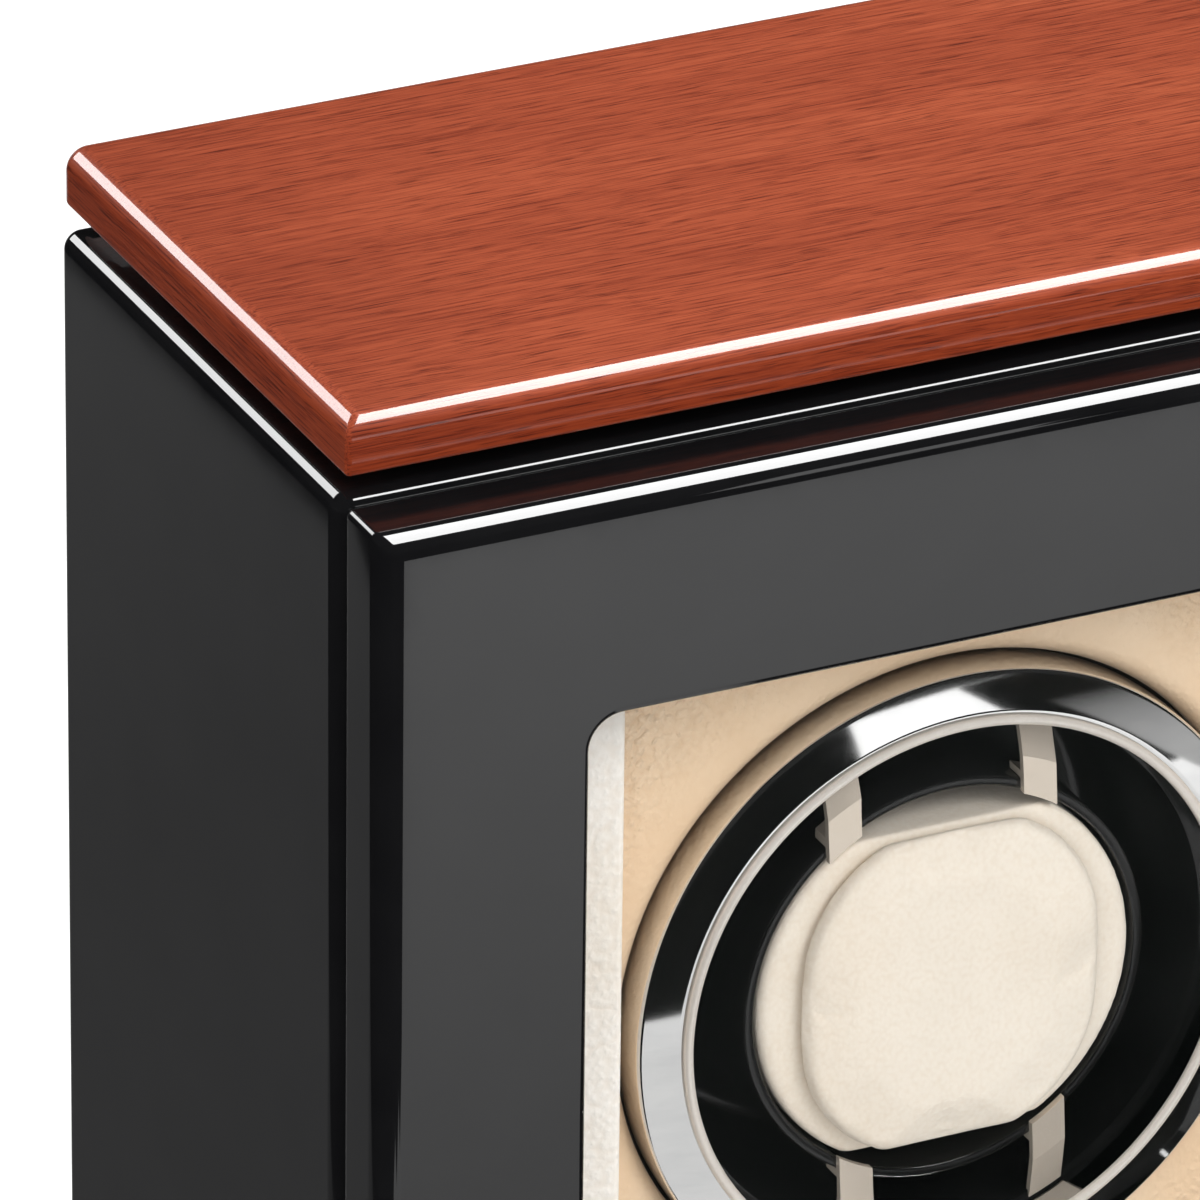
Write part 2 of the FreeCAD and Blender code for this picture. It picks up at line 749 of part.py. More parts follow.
cup = turned("inner_cup", [
    ("cup_inner", "0"),
    ("cup_inner + cup_wall", "0"),
    ("cup_inner + cup_wall", "cup_length"),
    ("0", "cup_length"),
    ("0", "cup_length - cup_wall"),
    ("cup_inner", "cup_length - cup_wall"),
])
node("inner_cup", place(cup, 0, "cup_front", "axis_height"))

# Cushion: a flanged base in the cup and a crowned pillow in front of it

flats = ("axis_height - flat_height / 2", "axis_height + flat_height / 2")
base_span = ("flange_front", "cup_front + cup_length - cup_wall - cushion_play")
base_plain = common("cushion_base_plain", [
    rod_y("cushion_base_round", "flange_radius", "0", base_span, "axis_height"),
    box("cushion_base_flats", ("-flange_radius", "flange_radius"), base_span, flats),
])
doc.recompute()
flange_face = size("flange_front")
node("cushion_base", rounded("cushion_base", base_plain, "flange_round",
                             lambda edge: lies(edge, 1, flange_face)))

pillow_span = ("pillow_front", "flange_front")
crown = doc.addObject("Part::Sphere", "pillow_crown")
bind(crown, Radius="pillow_crown_radius")
place(crown, 0, "pillow_front + pillow_crown_radius", "axis_height")
pillow_block = box("pillow_block", ("-pillow_half_width", "pillow_half_width"), pillow_span,
                   ("axis_height - pillow_half_height", "axis_height + pillow_half_height"))
doc.recompute()
pillow_plain = common("pillow_plain", [
    rounded("pillow_sides", pillow_block, "pillow_corner", lambda edge: along(edge, 1)),
    box("pillow_flats", ("-pillow_half_width", "pillow_half_width"), pillow_span, flats),
    crown,
])
doc.recompute()
node("cushion", rounded("cushion", pillow_plain, "pillow_round", lambda edge: not along(edge, 1)
                        and not lies(edge, 1, flange_face)))


# Clips: four upright strips of one bent ring between the bezel's inner wall and the inner cup

cup_outside = "cup_inner + cup_wall + bowl_rim_play"
plate_back = "clip_thickness"
wall_leg = "clip_thickness + bowl_front - cup_front"


def clip_ring(name):
    """The profile of a clip turned right round: a plate with a leg at each end."""
    return turned(name, [
        ("clip_inner", "0"),
        ("bezel_inner", "0"),
        ("bezel_inner", wall_leg),
        ("bezel_inner - clip_thickness", wall_leg),
        ("bezel_inner - clip_thickness", plate_back),
        (f"{cup_outside} + clip_thickness", plate_back),
        (f"{cup_outside} + clip_thickness", f"{plate_back} + clip_leg"),
        (cup_outside, f"{plate_back} + clip_leg"),
        (cup_outside, plate_back),
        ("clip_inner", plate_back),
    ])


def cushion_clip(name, across, along_up):
    """One strip of the ring, cut out at its place and turned a little with the rotor."""
    near = f"{across} * clip_place - clip_width / 2"
    far = f"{across} * clip_place + clip_width / 2"
    level = ("0", "bezel_inner") if along_up > 0 else ("-bezel_inner", "0")
    strip = common(name, [
        clip_ring(f"{name}_ring"),
        box(f"{name}_strip", (near, far), ("0", f"{plate_back} + clip_leg"), level),
    ])
    strip.Placement = Placement(Vector(), Rotation(Vector(0, 1, 0), size("clip_turn")))
    return node(name, place(strip, 0, "cup_front - clip_thickness", "axis_height"))


for index, (across, along_up) in enumerate(((-1, 1), (1, 1), (1, -1), (-1, -1)), start=1):
    cushion_clip(f"cushion_clip_{index}", across, along_up)

# Rotor shaft with its pulley, bush and retaining clip

groove_start = "clip_front - bowl_back"
shaft = turned("rotor_shaft", [
    ("0", "0"),
    ("hub_radius", "0"),
    ("hub_radius", "hub_thickness"),
    ("shaft_radius", "hub_thickness"),
    ("shaft_radius", groove_start),
    ("shaft_groove_radius", groove_start),
    ("shaft_groove_radius", f"{groove_start} + retaining_clip"),
    ("shaft_radius", f"{groove_start} + retaining_clip"),
    ("shaft_radius", "shaft_length"),
    ("0", "shaft_length"),
])
node("rotor_shaft", place(shaft, 0, "bowl_back", "axis_height"))


def pulley(name, bore, radius, groove_radius, height):
    groove_low = "(pulley_width - groove_width) / 2"
    groove_high = "(pulley_width + groove_width) / 2"
    wheel = turned(name, [
        (bore, "0"),
        (radius, "0"),
        (radius, groove_low),
        (groove_radius, groove_low),
        (groove_radius, groove_high),
        (radius, groove_high),
        (radius, "pulley_width"),
        (bore, "pulley_width"),
    ])
    return node(name, place(wheel, 0, "pulley_front", height))


pulley("rotor_pulley", "shaft_radius + press_play", "pulley_radius", "pulley_groove_radius", "axis_height")
pulley("motor_pulley", "motor_shaft_radius + press_play", "motor_pulley_radius", "motor_groove_radius",
       "motor_height")

bush = turned("shaft_bush", [
    ("shaft_radius + running_play", "0"),
    ("bush_flange_radius", "0"),
    ("bush_flange_radius", "drive_front - bush_front"),
    ("bush_radius - press_play", "drive_front - bush_front"),
    ("bush_radius - press_play", "bush_back - bush_front"),
    ("shaft_radius + running_play", "bush_back - bush_front"),
])
node("shaft_bush", place(bush, 0, "bush_front", "axis_height"))

retaining = turned("shaft_clip", [
    ("shaft_groove_radius + press_play", "press_play"),
    ("retaining_clip_radius", "press_play"),
    ("retaining_clip_radius", "retaining_clip - press_play"),
    ("shaft_groove_radius + press_play", "retaining_clip - press_play"),
])
node("shaft_clip", place(retaining, 0, "clip_front", "axis_height"))

# Belt: two loops of tangent lines and arcs around both pulleys


def belt_loop(sketch, big, small, apart):
    """One closed loop round a big wheel at the top and a small one below it, centred on the big wheel."""
    lean = math.asin((big - small) / apart)
    right = Vector(math.cos(lean), -math.sin(lean), 0)
    left = Vector(-right.x, right.y, 0)
    low = Vector(0, -apart, 0)
    sketch.addGeometry(Part.Arc(right * big, Vector(0, big, 0), left * big))
    sketch.addGeometry(Part.LineSegment(left * big, low + left * small))
    sketch.addGeometry(Part.Arc(low + left * small, low - Vector(0, small, 0), low + right * small))
    sketch.addGeometry(Part.LineSegment(low + right * small, right * big))


belt = doc.addObject("PartDesign::Body", "drive_belt")
belt_sketch = sketch_in(belt, "belt_outline", "XZ_Plane")
belt_inner_big = size("pulley_groove_radius") + size("belt_play")
belt_inner_small = size("motor_groove_radius") + size("belt_play")
for grown in (0, size("belt_thickness")):
    belt_loop(belt_sketch, belt_inner_big + grown, belt_inner_small + grown, size("motor_drop"))
belt_pad = belt.newObject("PartDesign::Pad", "belt_pad")
belt_pad.Profile = belt_sketch
belt_pad.Midplane = True
bind(belt_pad, Length="belt_width")
node("drive_belt", place(belt, 0, "pulley_front + pulley_width / 2", "axis_height"))

# Drive board on two cleats, with the motor behind it

board_screw_places = [
    (f"{across} * (inside - cleat_width / 2)", f"axis_height {sign} (case_height / 2 - board_screw_inset)")
    for across in (-1, 1) for sign in "-+"
]
cover_screw_places = [
    (f"{across} * (inside - cleat_width / 2)", f"axis_height {sign} (case_height / 2 - cover_screw_inset)")
    for across in (-1, 1) for sign in "-+"
]
motor_screw_places = [(f"{across} * motor_screw_spread / 2", "motor_height") for across in (-1, 1)]


def rods_at(name, places, radius, span):
    return [rod_y(f"{name}_{index}", radius, x, span, z) for index, (x, z) in enumerate(places)]


def screws_y(name, places, shank, head):
    """A group of screws along Y with round heads."""
    screws = []
    for index, (x, z) in enumerate(places):
        screws.append(fuse(f"{name}_{index}", [
            rod_y(f"{name}_shank_{index}", "screw_radius", x, shank, z),
            rod_y(f"{name}_head_{index}", "screw_head_radius", x, head, z),
        ]))
    return node(name, group(name, screws))


board_reach = "drive_front + screw_length"
cover_reach = "cover_back - screw_length / 2"
clear_radius = "screw_radius + press_play"
for side, sign in SIDES.items():
    low, high = ("-inside", "-inside + cleat_width") if sign < 0 else ("inside - cleat_width", "inside")
    cleat = box(f"cleat_{side}_bar", (low, high), ("drive_back", "cover_front"),
                ("floor_inside", "roof_inside"))
    own = slice(0, 2) if sign < 0 else slice(2, 4)
    node(f"cleat_{side}", cut(f"cleat_{side}", cleat, [
        *rods_at(f"cleat_{side}_front", board_screw_places[own], "screw_radius", ("drive_back", board_reach)),
        *rods_at(f"cleat_{side}_back", cover_screw_places[own], "screw_radius", (cover_reach, "cover_front")),
    ]))

drive_plain = box("drive_plain", ("-inside + fit_gap", "inside - fit_gap"), ("drive_front", "drive_back"),
                  ("floor_inside + fit_gap", "roof_inside - fit_gap"))
board_span = ("drive_front", "drive_back")
node("drive_board", cut("drive_board", drive_plain, [
    rod_y("bush_hole", "bush_radius", "0", board_span, "axis_height"),
    rod_y("motor_hole", "motor_boss_radius + fit_gap", "0", board_span, "motor_height"),
    *rods_at("board_hole", board_screw_places, clear_radius, board_span),
    *rods_at("motor_screw_hole", motor_screw_places, clear_radius, board_span),
]))
screws_y("drive_board_screws", board_screw_places, ("drive_front", board_reach),
         ("drive_front - screw_head", "drive_front"))

motor_reach = "drive_back + motor_boss"
motor_can = fuse("motor_can", [
    rod_y("motor_case", "motor_radius", "0", ("drive_back", "drive_back + motor_length"), "motor_height"),
    rod_y("motor_boss_rod", "motor_boss_radius", "0", ("drive_back - motor_boss", "drive_back"),
          "motor_height"),
])
shaft_seat = "drive_back + motor_shaft_seat"
node("motor", cut("motor", motor_can, [
    rod_y("motor_bore", "motor_shaft_radius + running_play", "0",
          ("drive_back - motor_boss", f"{shaft_seat} + fit_gap"), "motor_height"),
    *rods_at("motor_thread", motor_screw_places, "screw_radius", ("drive_back", motor_reach)),
]))
node("motor_shaft", rod_y("motor_shaft", "motor_shaft_radius", "0",
                          ("pulley_front", shaft_seat), "motor_height"))
screws_y("motor_screws", motor_screw_places, ("drive_front", motor_reach),
         ("drive_front - screw_head", "drive_front"))

# Rear cover with the controls on a circuit board behind it

cover_plain = box("cover_plain", ("-inside + fit_gap", "inside - fit_gap"), ("cover_front", "cover_back"),
                  ("floor_inside + fit_gap", "roof_inside - fit_gap"))
cover_span = ("cover_front", "cover_back")
switch_x = ("switch_place - switch_length / 2", "switch_place + switch_length / 2")
switch_z = ("controls - switch_height / 2", "controls + switch_height / 2")
node("rear_cover", cut("rear_cover", cover_plain, [
    rod_y("inlet_hole", "inlet_radius + fit_gap", "inlet_place", cover_span, "controls"),
    rod_y("selector_hole", "selector_bushing + fit_gap", "selector_place", cover_span, "controls"),
    box("switch_hole", switch_x, cover_span, switch_z),
    *rods_at("cover_hole", cover_screw_places, clear_radius, cover_span),
]))
screws_y("rear_cover_screws", cover_screw_places, (cover_reach, "cover_back"),
         ("cover_back", "cover_back + screw_head"))

standoff_places = [
    (x, f"controls {sign} (circuit_height / 2 - standoff_inset)")
    for x in ("standoff_inset - circuit_left", "circuit_right - standoff_inset") for sign in "-+"
]
node("control_board", box("control_board", ("-circuit_left", "circuit_right"),
                          ("circuit_front", "circuit_back"),
                          ("controls - circuit_height / 2", "controls + circuit_height / 2")))
node("board_standoffs", group("board_standoffs", rods_at(
    "standoff", standoff_places, "standoff_radius", ("circuit_back", "cover_front"))))

inlet_end = "cover_back + inlet_stand"
inlet_whole = fuse("inlet_whole", [
    box("inlet_block", ("inlet_place - inlet_body / 2", "inlet_place + inlet_body / 2"),
        ("circuit_back", "cover_front"), ("controls - inlet_body / 2", "controls + inlet_body / 2")),
    rod_y("inlet_barrel", "inlet_radius", "inlet_place", ("cover_front", inlet_end), "controls"),
])
node("power_inlet", cut("power_inlet", inlet_whole, [
    rod_y("inlet_socket", "inlet_bore", "inlet_place",
          (f"{inlet_end} - inlet_bore_depth", inlet_end), "controls"),
]))

selector_whole = fuse("selector_whole", [
    box("selector_block", ("selector_place - selector_body / 2", "selector_place + selector_body / 2"),
        ("circuit_back", "cover_front"), ("controls - selector_body / 2", "controls + selector_body / 2")),
    rod_y("selector_neck", "selector_bushing", "selector_place", cover_span, "controls"),
])
stem_start = "cover_back - knob_stem"
node("program_selector", cut("program_selector", selector_whole, [
    rod_y("selector_bore", "knob_stem_radius + running_play", "selector_place",
          (f"{stem_start} - fit_gap", "cover_back"), "controls"),
]))
knob_base = "cover_back + fit_gap"
knob_end = f"{knob_base} + knob_height"
knob_rod = rod_y("knob_rod", "knob_radius", "selector_place", (knob_base, knob_end), "controls")
doc.recompute()
knob_back = size("cover_back") + size("fit_gap") + size("knob_height")
knob_whole = fuse("knob_whole", [
    rounded("knob_soft", knob_rod, "knob_round", lambda edge: lies(edge, 1, knob_back)),
    rod_y("knob_stem_rod", "knob_stem_radius", "selector_place", (stem_start, knob_base), "controls"),
])
node("program_knob", cut("program_knob", knob_whole, [
    box("knob_mark", ("selector_place - knob_mark_width / 2", "selector_place + knob_mark_width / 2"),
        (f"{knob_end} - fit_gap", knob_end), ("controls", "controls + knob_radius")),
]))

switch_end = "cover_back + switch_rim"
switch_whole = fuse("switch_whole", [
    box("switch_block", switch_x, ("circuit_back", switch_end), switch_z),
    box("switch_rim_plate", (f"{switch_x[0]} - switch_rim", f"{switch_x[1]} + switch_rim"),
        ("cover_back", switch_end), (f"{switch_z[0]} - switch_rim", f"{switch_z[1]} + switch_rim")),
])
well_z = (f"{switch_z[0]} + switch_wall", f"{switch_z[1]} - switch_wall")
node("switch_housing", cut("switch_housing", switch_whole, [
    box("switch_well", (f"{switch_x[0]} + switch_wall", f"{switch_x[1]} - switch_wall"),
        (f"{switch_end} - rocker_depth - switch_wall", switch_end), well_z),
    rod_z("trunnion_seats", "trunnion_radius + trunnion_fit", "switch_place", f"{switch_end} - rocker_pivot",
          (f"{well_z[0]} - trunnion_length", f"{well_z[1]} + trunnion_length")),
]))

# The rocker is dished, and rests tipped about an upright pivot inside the housing's rim.
# It is drawn about that pivot, which lies at its own origin.
rocker_half = "switch_length / 2 - switch_wall - 2 * fit_gap"
rocker_half_height = "switch_height / 2 - switch_wall - fit_gap"
rocker_plain = box("rocker_plain", (f"-({rocker_half})", rocker_half),
                   ("rocker_pivot + switch_rim - rocker_depth", "rocker_pivot + rocker_proud"),
                   (f"-({rocker_half_height})", rocker_half_height))
dish = rod_z("rocker_dish_rod", "rocker_dish", "0", "rocker_dish + rocker_pivot + rocker_proud - switch_rim",
             ("-switch_height", "switch_height"))
trunnion_reach = "switch_height / 2 - switch_wall + trunnion_length - trunnion_fit"
rocker = fuse("power_rocker", [
    cut("rocker_dished", rocker_plain, [dish]),
    rod_z("rocker_trunnions", "trunnion_radius", "0", "0", (f"-({trunnion_reach})", trunnion_reach)),
])
rocker.Placement = Placement(Vector(), Rotation(Vector(0, 0, 1), -size("rocker_tip")))
node("power_rocker", place(rocker, "switch_place", f"{switch_end} - rocker_pivot", "controls"))

# Check and write every sub-part

doc.recompute()
for thing in doc.Objects:
    if "Invalid" in thing.State or "Error" in thing.State:
        raise RuntimeError(f"{thing.Name} did not build: {thing.State}")
for name, thing in nodes.items():
    shape = thing.Shape
    if shape.isNull() or not shape.isValid():
        raise RuntimeError(f"{name} has no valid shape")
    shape.exportStep(f"parts/{name}.step")
print(len(nodes), "sub-parts written")
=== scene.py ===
import json
import math

import bmesh
import bpy
from mathutils import Matrix, Vector


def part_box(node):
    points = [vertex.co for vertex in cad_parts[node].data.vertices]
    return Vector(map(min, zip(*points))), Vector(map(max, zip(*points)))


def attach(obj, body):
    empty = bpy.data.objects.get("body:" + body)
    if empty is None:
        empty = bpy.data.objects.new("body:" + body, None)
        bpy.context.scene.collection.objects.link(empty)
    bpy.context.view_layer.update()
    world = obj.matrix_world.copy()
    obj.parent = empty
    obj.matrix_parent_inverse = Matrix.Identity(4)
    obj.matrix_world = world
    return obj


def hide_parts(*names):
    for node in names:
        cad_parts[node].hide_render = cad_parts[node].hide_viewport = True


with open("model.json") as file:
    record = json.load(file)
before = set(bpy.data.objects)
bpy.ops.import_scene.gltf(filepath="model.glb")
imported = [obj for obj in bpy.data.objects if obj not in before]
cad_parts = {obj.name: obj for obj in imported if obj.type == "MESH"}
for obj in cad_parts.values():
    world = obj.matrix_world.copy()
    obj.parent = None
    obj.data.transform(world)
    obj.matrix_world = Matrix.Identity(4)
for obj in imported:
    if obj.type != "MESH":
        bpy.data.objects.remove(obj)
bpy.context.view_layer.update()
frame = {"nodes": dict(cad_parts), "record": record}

# Watch winder box: a lacquered case with a wood top, a glazed door and a turning watch cushion.
# Lengths are in metres; outlines of turned pieces are written in millimetres.

MM = 0.001
AXIS = Vector((0, 0, sum(corner.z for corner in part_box("bezel")) / 2))
Y, Z = 1, 2


# Working at the bench: picking pieces up, choosing their faces and edges, finishing them

def put_down():
    """Leaves edit mode with nothing selected."""
    if bpy.context.mode != "OBJECT":
        bpy.ops.object.mode_set(mode="OBJECT")
    bpy.ops.object.select_all(action="DESELECT")


def pick_up(piece):
    put_down()
    piece.select_set(True)
    bpy.context.view_layer.objects.active = piece


def newest(name):
    """The piece that was just added, under its own name."""
    piece = bpy.context.object
    piece.name = name
    piece.data.name = name
    return piece


def set_in_place(piece):
    """Puts the piece's place, turn and size into its mesh."""
    pick_up(piece)
    bpy.ops.object.transform_apply(location=True, rotation=True, scale=True)
    return piece


def block(name, low, high):
    low, high = Vector(low), Vector(high)
    put_down()
    bpy.ops.mesh.primitive_cube_add(size=1, location=(low + high) / 2)
    piece = newest(name)
    piece.scale = high - low
    return set_in_place(piece)


def corners(item):
    return [item.co] if isinstance(item, bmesh.types.BMVert) else [vert.co for vert in item.verts]


def lies_at(axis, place):
    """A test for what lies wholly in one flat plane."""
    return lambda item: all(abs(corner[axis] - place) < 2e-5 for corner in corners(item))


def runs_along(axis):
    """A test for edges that run along one direction only."""
    def test(edge):
        start, end = corners(edge)
        across = [abs(end[way] - start[way]) for way in range(3) if way != axis]
        return max(across) < 2e-5
    return test


def choose(piece, kind, wanted):
    """Goes into edit mode with only the wanted faces, edges or points selected."""
    pick_up(piece)
    bpy.ops.object.mode_set(mode="EDIT")
    bpy.ops.mesh.select_mode(type=kind)
    bpy.ops.mesh.select_all(action="DESELECT")
    shape = bmesh.from_edit_mesh(piece.data)
    for item in {"VERT": shape.verts, "EDGE": shape.edges, "FACE": shape.faces}[kind]:
        if wanted(item):
            item.select_set(True)
    shape.select_flush_mode()
    bmesh.update_edit_mesh(piece.data)


def round_over(piece, wanted, width, steps):
    choose(piece, "EDGE", wanted)
    bpy.ops.mesh.bevel(offset=width, offset_type="OFFSET", segments=steps, affect="EDGES")
    put_down()


def apply_last(piece):
    """Applies the modifier that was added last."""
    pick_up(piece)
    bpy.ops.object.modifier_apply(modifier=piece.modifiers[-1].name)


def cut_out(piece, cutter):
    """Takes the cutter's shape out of the piece."""
    cutting = piece.modifiers.new("cut", "BOOLEAN")
    cutting.operation = "DIFFERENCE"
    cutting.solver = "EXACT"
    cutting.object = cutter
    apply_last(piece)
    bpy.data.objects.remove(cutter)


def polish(piece, angle=35, weighted=True):
    """Smooth shading over the roundings, with the flat faces kept flat."""
    pick_up(piece)
    bpy.ops.object.shade_smooth_by_angle(angle=math.radians(angle))
    if weighted:
        even = piece.modifiers.new("even", "WEIGHTED_NORMAL")
        even.keep_sharp = True
        apply_last(piece)
    put_down()


def copy_of(piece, name):
    """A second piece with its own mesh."""
    pick_up(piece)
    bpy.ops.object.duplicate(linked=False)
    return newest(name)


def turned_about(piece, centre, axis, degrees):
    centre = Vector(centre)
    turn = Matrix.Rotation(math.radians(degrees), 4, axis)
    piece.matrix_world = Matrix.Translation(centre) @ turn @ Matrix.Translation(-centre)
    return set_in_place(piece)


def arc(radius, y, size, start, end, steps):
    """Points of an arc in an outline, from one angle to another; 0 points outwards and 90 to the back."""
    points = []
    for step in range(steps + 1):
        angle = math.radians(start + (end - start) * step / steps)
        points.append((radius + size * math.cos(angle), y + size * math.sin(angle)))
    return points


def turned(name, outline, sides=128, centre=AXIS, capped=False):
    """A round piece drawn out from a circle, ring by ring, along its outline of radii and depths."""
    put_down()
    radius, y = outline[0]
    bpy.ops.mesh.primitive_circle_add(vertices=sides, radius=radius * MM, rotation=(math.pi / 2, 0, 0),
                                      location=(centre.x, y * MM, centre.z))
    piece = set_in_place(newest(name))
    bpy.ops.object.mode_set(mode="EDIT")
    bpy.ops.mesh.select_mode(type="EDGE")
    bpy.ops.mesh.select_all(action="SELECT")
    for next_radius, next_y in outline[1:]:
        bpy.ops.mesh.extrude_region_move(TRANSFORM_OT_translate={"value": (0, (next_y - y) * MM, 0)})
        growth = next_radius / radius
        bpy.ops.transform.resize(value=(growth, 1, growth), center_override=(centre.x, next_y * MM, centre.z))
        radius, y = next_radius, next_y
    bpy.ops.mesh.select_all(action="SELECT")
    bpy.ops.mesh.remove_doubles(threshold=1e-6)
    if capped:
        bpy.ops.mesh.fill_holes(sides=0)
        bpy.ops.mesh.select_all(action="SELECT")
    bpy.ops.mesh.normals_make_consistent(inside=False)
    put_down()
    return piece


def stands_for(piece, body, finish, slot, *nodes):
    """Gives a piece its finish, its body and the solids it stands for."""
    piece.data.materials.clear()
    piece.data.materials.append(finish)
    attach(piece, body)
    if nodes:
        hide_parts(*nodes)
    return piece


# Finishes

def tone(red, green, blue):
    """A colour as it shows on a screen, in the shader's own scale."""
    return tuple(((c / 255 + 0.055) / 1.055) ** 2.4 for c in (red, green, blue)) + (1,)


class Finish:
    """A material and the few nodes that most finishes here need."""

    def __init__(self, name, **sockets):
        self.material = bpy.data.materials.new(name)
        self.material.use_nodes = True
        self.tree = self.material.node_tree
        self.shader = self.tree.nodes["Principled BSDF"]
        for socket, value in sockets.items():
            self.shader.inputs[socket.replace("_", " ")].default_value = value
        self.place = self.node("ShaderNodeTexCoord").outputs["Object"]

    def node(self, kind, **settings):
        made = self.tree.nodes.new(kind)
        for name, value in settings.items():
            setattr(made, name, value)
        return made

    def link(self, source, target):
        self.tree.links.new(source, target)

    def stretched(self, scale, place=None):
        """Object coordinates times a scale for each direction, per metre."""
        mapping = self.node("ShaderNodeMapping")
        mapping.inputs["Scale"].default_value = scale
        self.link(place or self.place, mapping.inputs["Vector"])
        return mapping.outputs["Vector"]

    def noise(self, place, scale=1.0, detail=3.0, roughness=0.5, distortion=0.0):
        made = self.node("ShaderNodeTexNoise")
        for name, value in (("Scale", scale), ("Detail", detail), ("Roughness", roughness),
                            ("Distortion", distortion)):
            made.inputs[name].default_value = value
        self.link(place, made.inputs["Vector"])
        return made.outputs["Fac"]

    def cells(self, place, scale):
        made = self.node("ShaderNodeTexVoronoi", feature="SMOOTH_F1")
        made.inputs["Scale"].default_value = scale
        self.link(place, made.inputs["Vector"])
        return made.outputs["Distance"]

    def ramp(self, value, *stops):
        """Colours at places along a value from 0 to 1."""
        made = self.node("ShaderNodeValToRGB")
        points = made.color_ramp.elements
        while len(points) < len(stops):
            points.new(0.5)
        for point, (place, colour) in zip(points, stops):
            point.position = place
            point.color = colour
        self.link(value, made.inputs["Fac"])
        return made.outputs["Color"]

    def span(self, value, low, high, start=0.0, end=1.0):
        """A value moved to another range."""
        made = self.node("ShaderNodeMapRange")
        for name, number in (("From Min", start), ("From Max", end), ("To Min", low), ("To Max", high)):
            made.inputs[name].default_value = number
        self.link(value, made.inputs["Value"])
        return made.outputs["Result"]

    def sums(self, first, second, how="ADD"):
        made = self.node("ShaderNodeMath", operation=how)
        for socket, value in zip(made.inputs, (first, second)):
            if isinstance(value, (int, float)):
                socket.default_value = value
            else:
                self.link(value, socket)
        return made.outputs[0]

    def mixed(self, first, second, share, how="MIX"):
        """Two colours, blended by a share that is a number or a pattern."""
        made = self.node("ShaderNodeMix", data_type="RGBA", blend_type=how)
        for socket, value in ((made.inputs[0], share), (made.inputs[6], first), (made.inputs[7], second)):
            if isinstance(value, (int, float, tuple)):
                socket.default_value = value
            else:
                self.link(value, socket)
        return made.outputs[2]

    def relief(self, height, depth, strength=1.0):
        bump = self.node("ShaderNodeBump")
        bump.inputs["Strength"].default_value = strength
        bump.inputs["Distance"].default_value = depth
        self.link(height, bump.inputs["Height"])
        self.link(bump.outputs["Normal"], self.shader.inputs["Normal"])

    def colour(self, source):
        self.link(source, self.shader.inputs["Base Color"])

    def gloss(self, source):
        self.link(source, self.shader.inputs["Roughness"])


def black_lacquer():
    """Black piano lacquer: deep, mirror smooth, with a trace of polishing haze."""
    made = Finish("black_lacquer", IOR=1.58)
    haze = made.noise(made.place, 45, 4, 0.6)
    made.colour(made.ramp(haze, (0.3, (0.0045, 0.0045, 0.005, 1)), (0.75, (0.007, 0.007, 0.0075, 1))))
    made.gloss(made.span(made.noise(made.place, 180, 3), 0.03, 0.07))
    made.relief(made.noise(made.place, 70, 1), 0.00002, 0.25)
    return made.material


def mahogany_veneer():
    """Reddish veneer with its grain along the top, edge bands along the sides, under clear lacquer, with
    painted shade on the front and sides and towards the top's ends.
    """
    made = Finish("mahogany_veneer", Coat_Weight=1.0, Coat_Roughness=0.04, Coat_IOR=1.5,
                  Specular_IOR_Level=0.15)
    split = made.node("ShaderNodeSeparateXYZ")
    made.link(made.place, split.inputs[0])
    turned_place = made.node("ShaderNodeCombineXYZ")
    for source, target in (("Y", "X"), ("X", "Y"), ("Z", "Z")):
        made.link(split.outputs[source], turned_place.inputs[target])
    facing = made.node("ShaderNodeSeparateXYZ")
    made.link(made.node("ShaderNodeNewGeometry").outputs["Normal"], facing.inputs[0])
    on_side = made.sums(made.sums(facing.outputs["X"], 0, "ABSOLUTE"), 0.75, "GREATER_THAN")
    grain_place = made.node("ShaderNodeMix", data_type="VECTOR")
    made.link(on_side, grain_place.inputs[0])
    made.link(made.place, grain_place.inputs[4])
    made.link(turned_place.outputs[0], grain_place.inputs[5])
    place = grain_place.outputs[1]
    sway = made.noise(made.stretched((14, 40, 40), place), 1, 2)
    wavy = made.node("ShaderNodeVectorMath", operation="MULTIPLY_ADD")
    made.link(sway, wavy.inputs[0])
    wavy.inputs[1].default_value = (0, 0.003, 0.003)
    made.link(place, wavy.inputs[2])
    place = wavy.outputs[0]
    figure = made.noise(made.stretched((4, 34, 34), place), 1, 3, 0.5, 0.3)
    streaks = made.noise(made.stretched((44, 2700, 2700), place), 1, 4, 0.7)
    pores = made.noise(made.stretched((120, 3600, 3600), place), 1, 1, 0.5)
    body = made.ramp(figure, (0.3, tone(167, 77, 46)), (0.5, tone(178, 85, 52)), (0.72, tone(188, 94, 59)))
    lines = made.ramp(streaks, (0.34, tone(178, 144, 130)), (0.46, tone(222, 204, 195)),
                      (0.58, tone(246, 240, 236)), (0.7, tone(255, 255, 255)))
    grained = made.mixed(body, lines, 0.95, "MULTIPLY")
    pore_mask = made.ramp(pores, (0.33, (0.42, 0.32, 0.29, 1)), (0.42, (1, 1, 1, 1)))
    veneer = made.mixed(grained, pore_mask, 0.8, "MULTIPLY")
    # Painted shade: the veneer is darkened towards both ends of the top.
    end_shade = made.span(made.sums(split.outputs["X"], 0, "ABSOLUTE"), 0.0, 1.0, 0.075, 0.118)
    veneer = made.mixed(veneer, (0.84, 0.79, 0.78, 1), end_shade, "MULTIPLY")
    # Painted shade: faces that turn away from the top, the front and the sides, are darkened.
    side_shade = made.span(facing.outputs["Z"], 1.0, 0.0, 0.35, 0.8)
    made.colour(made.mixed(veneer, (0.66, 0.52, 0.36, 1), side_shade, "MULTIPLY"))
    made.gloss(made.span(streaks, 0.5, 0.36))
    made.relief(made.sums(streaks, pores), 0.00003, 0.2)
    return made.material


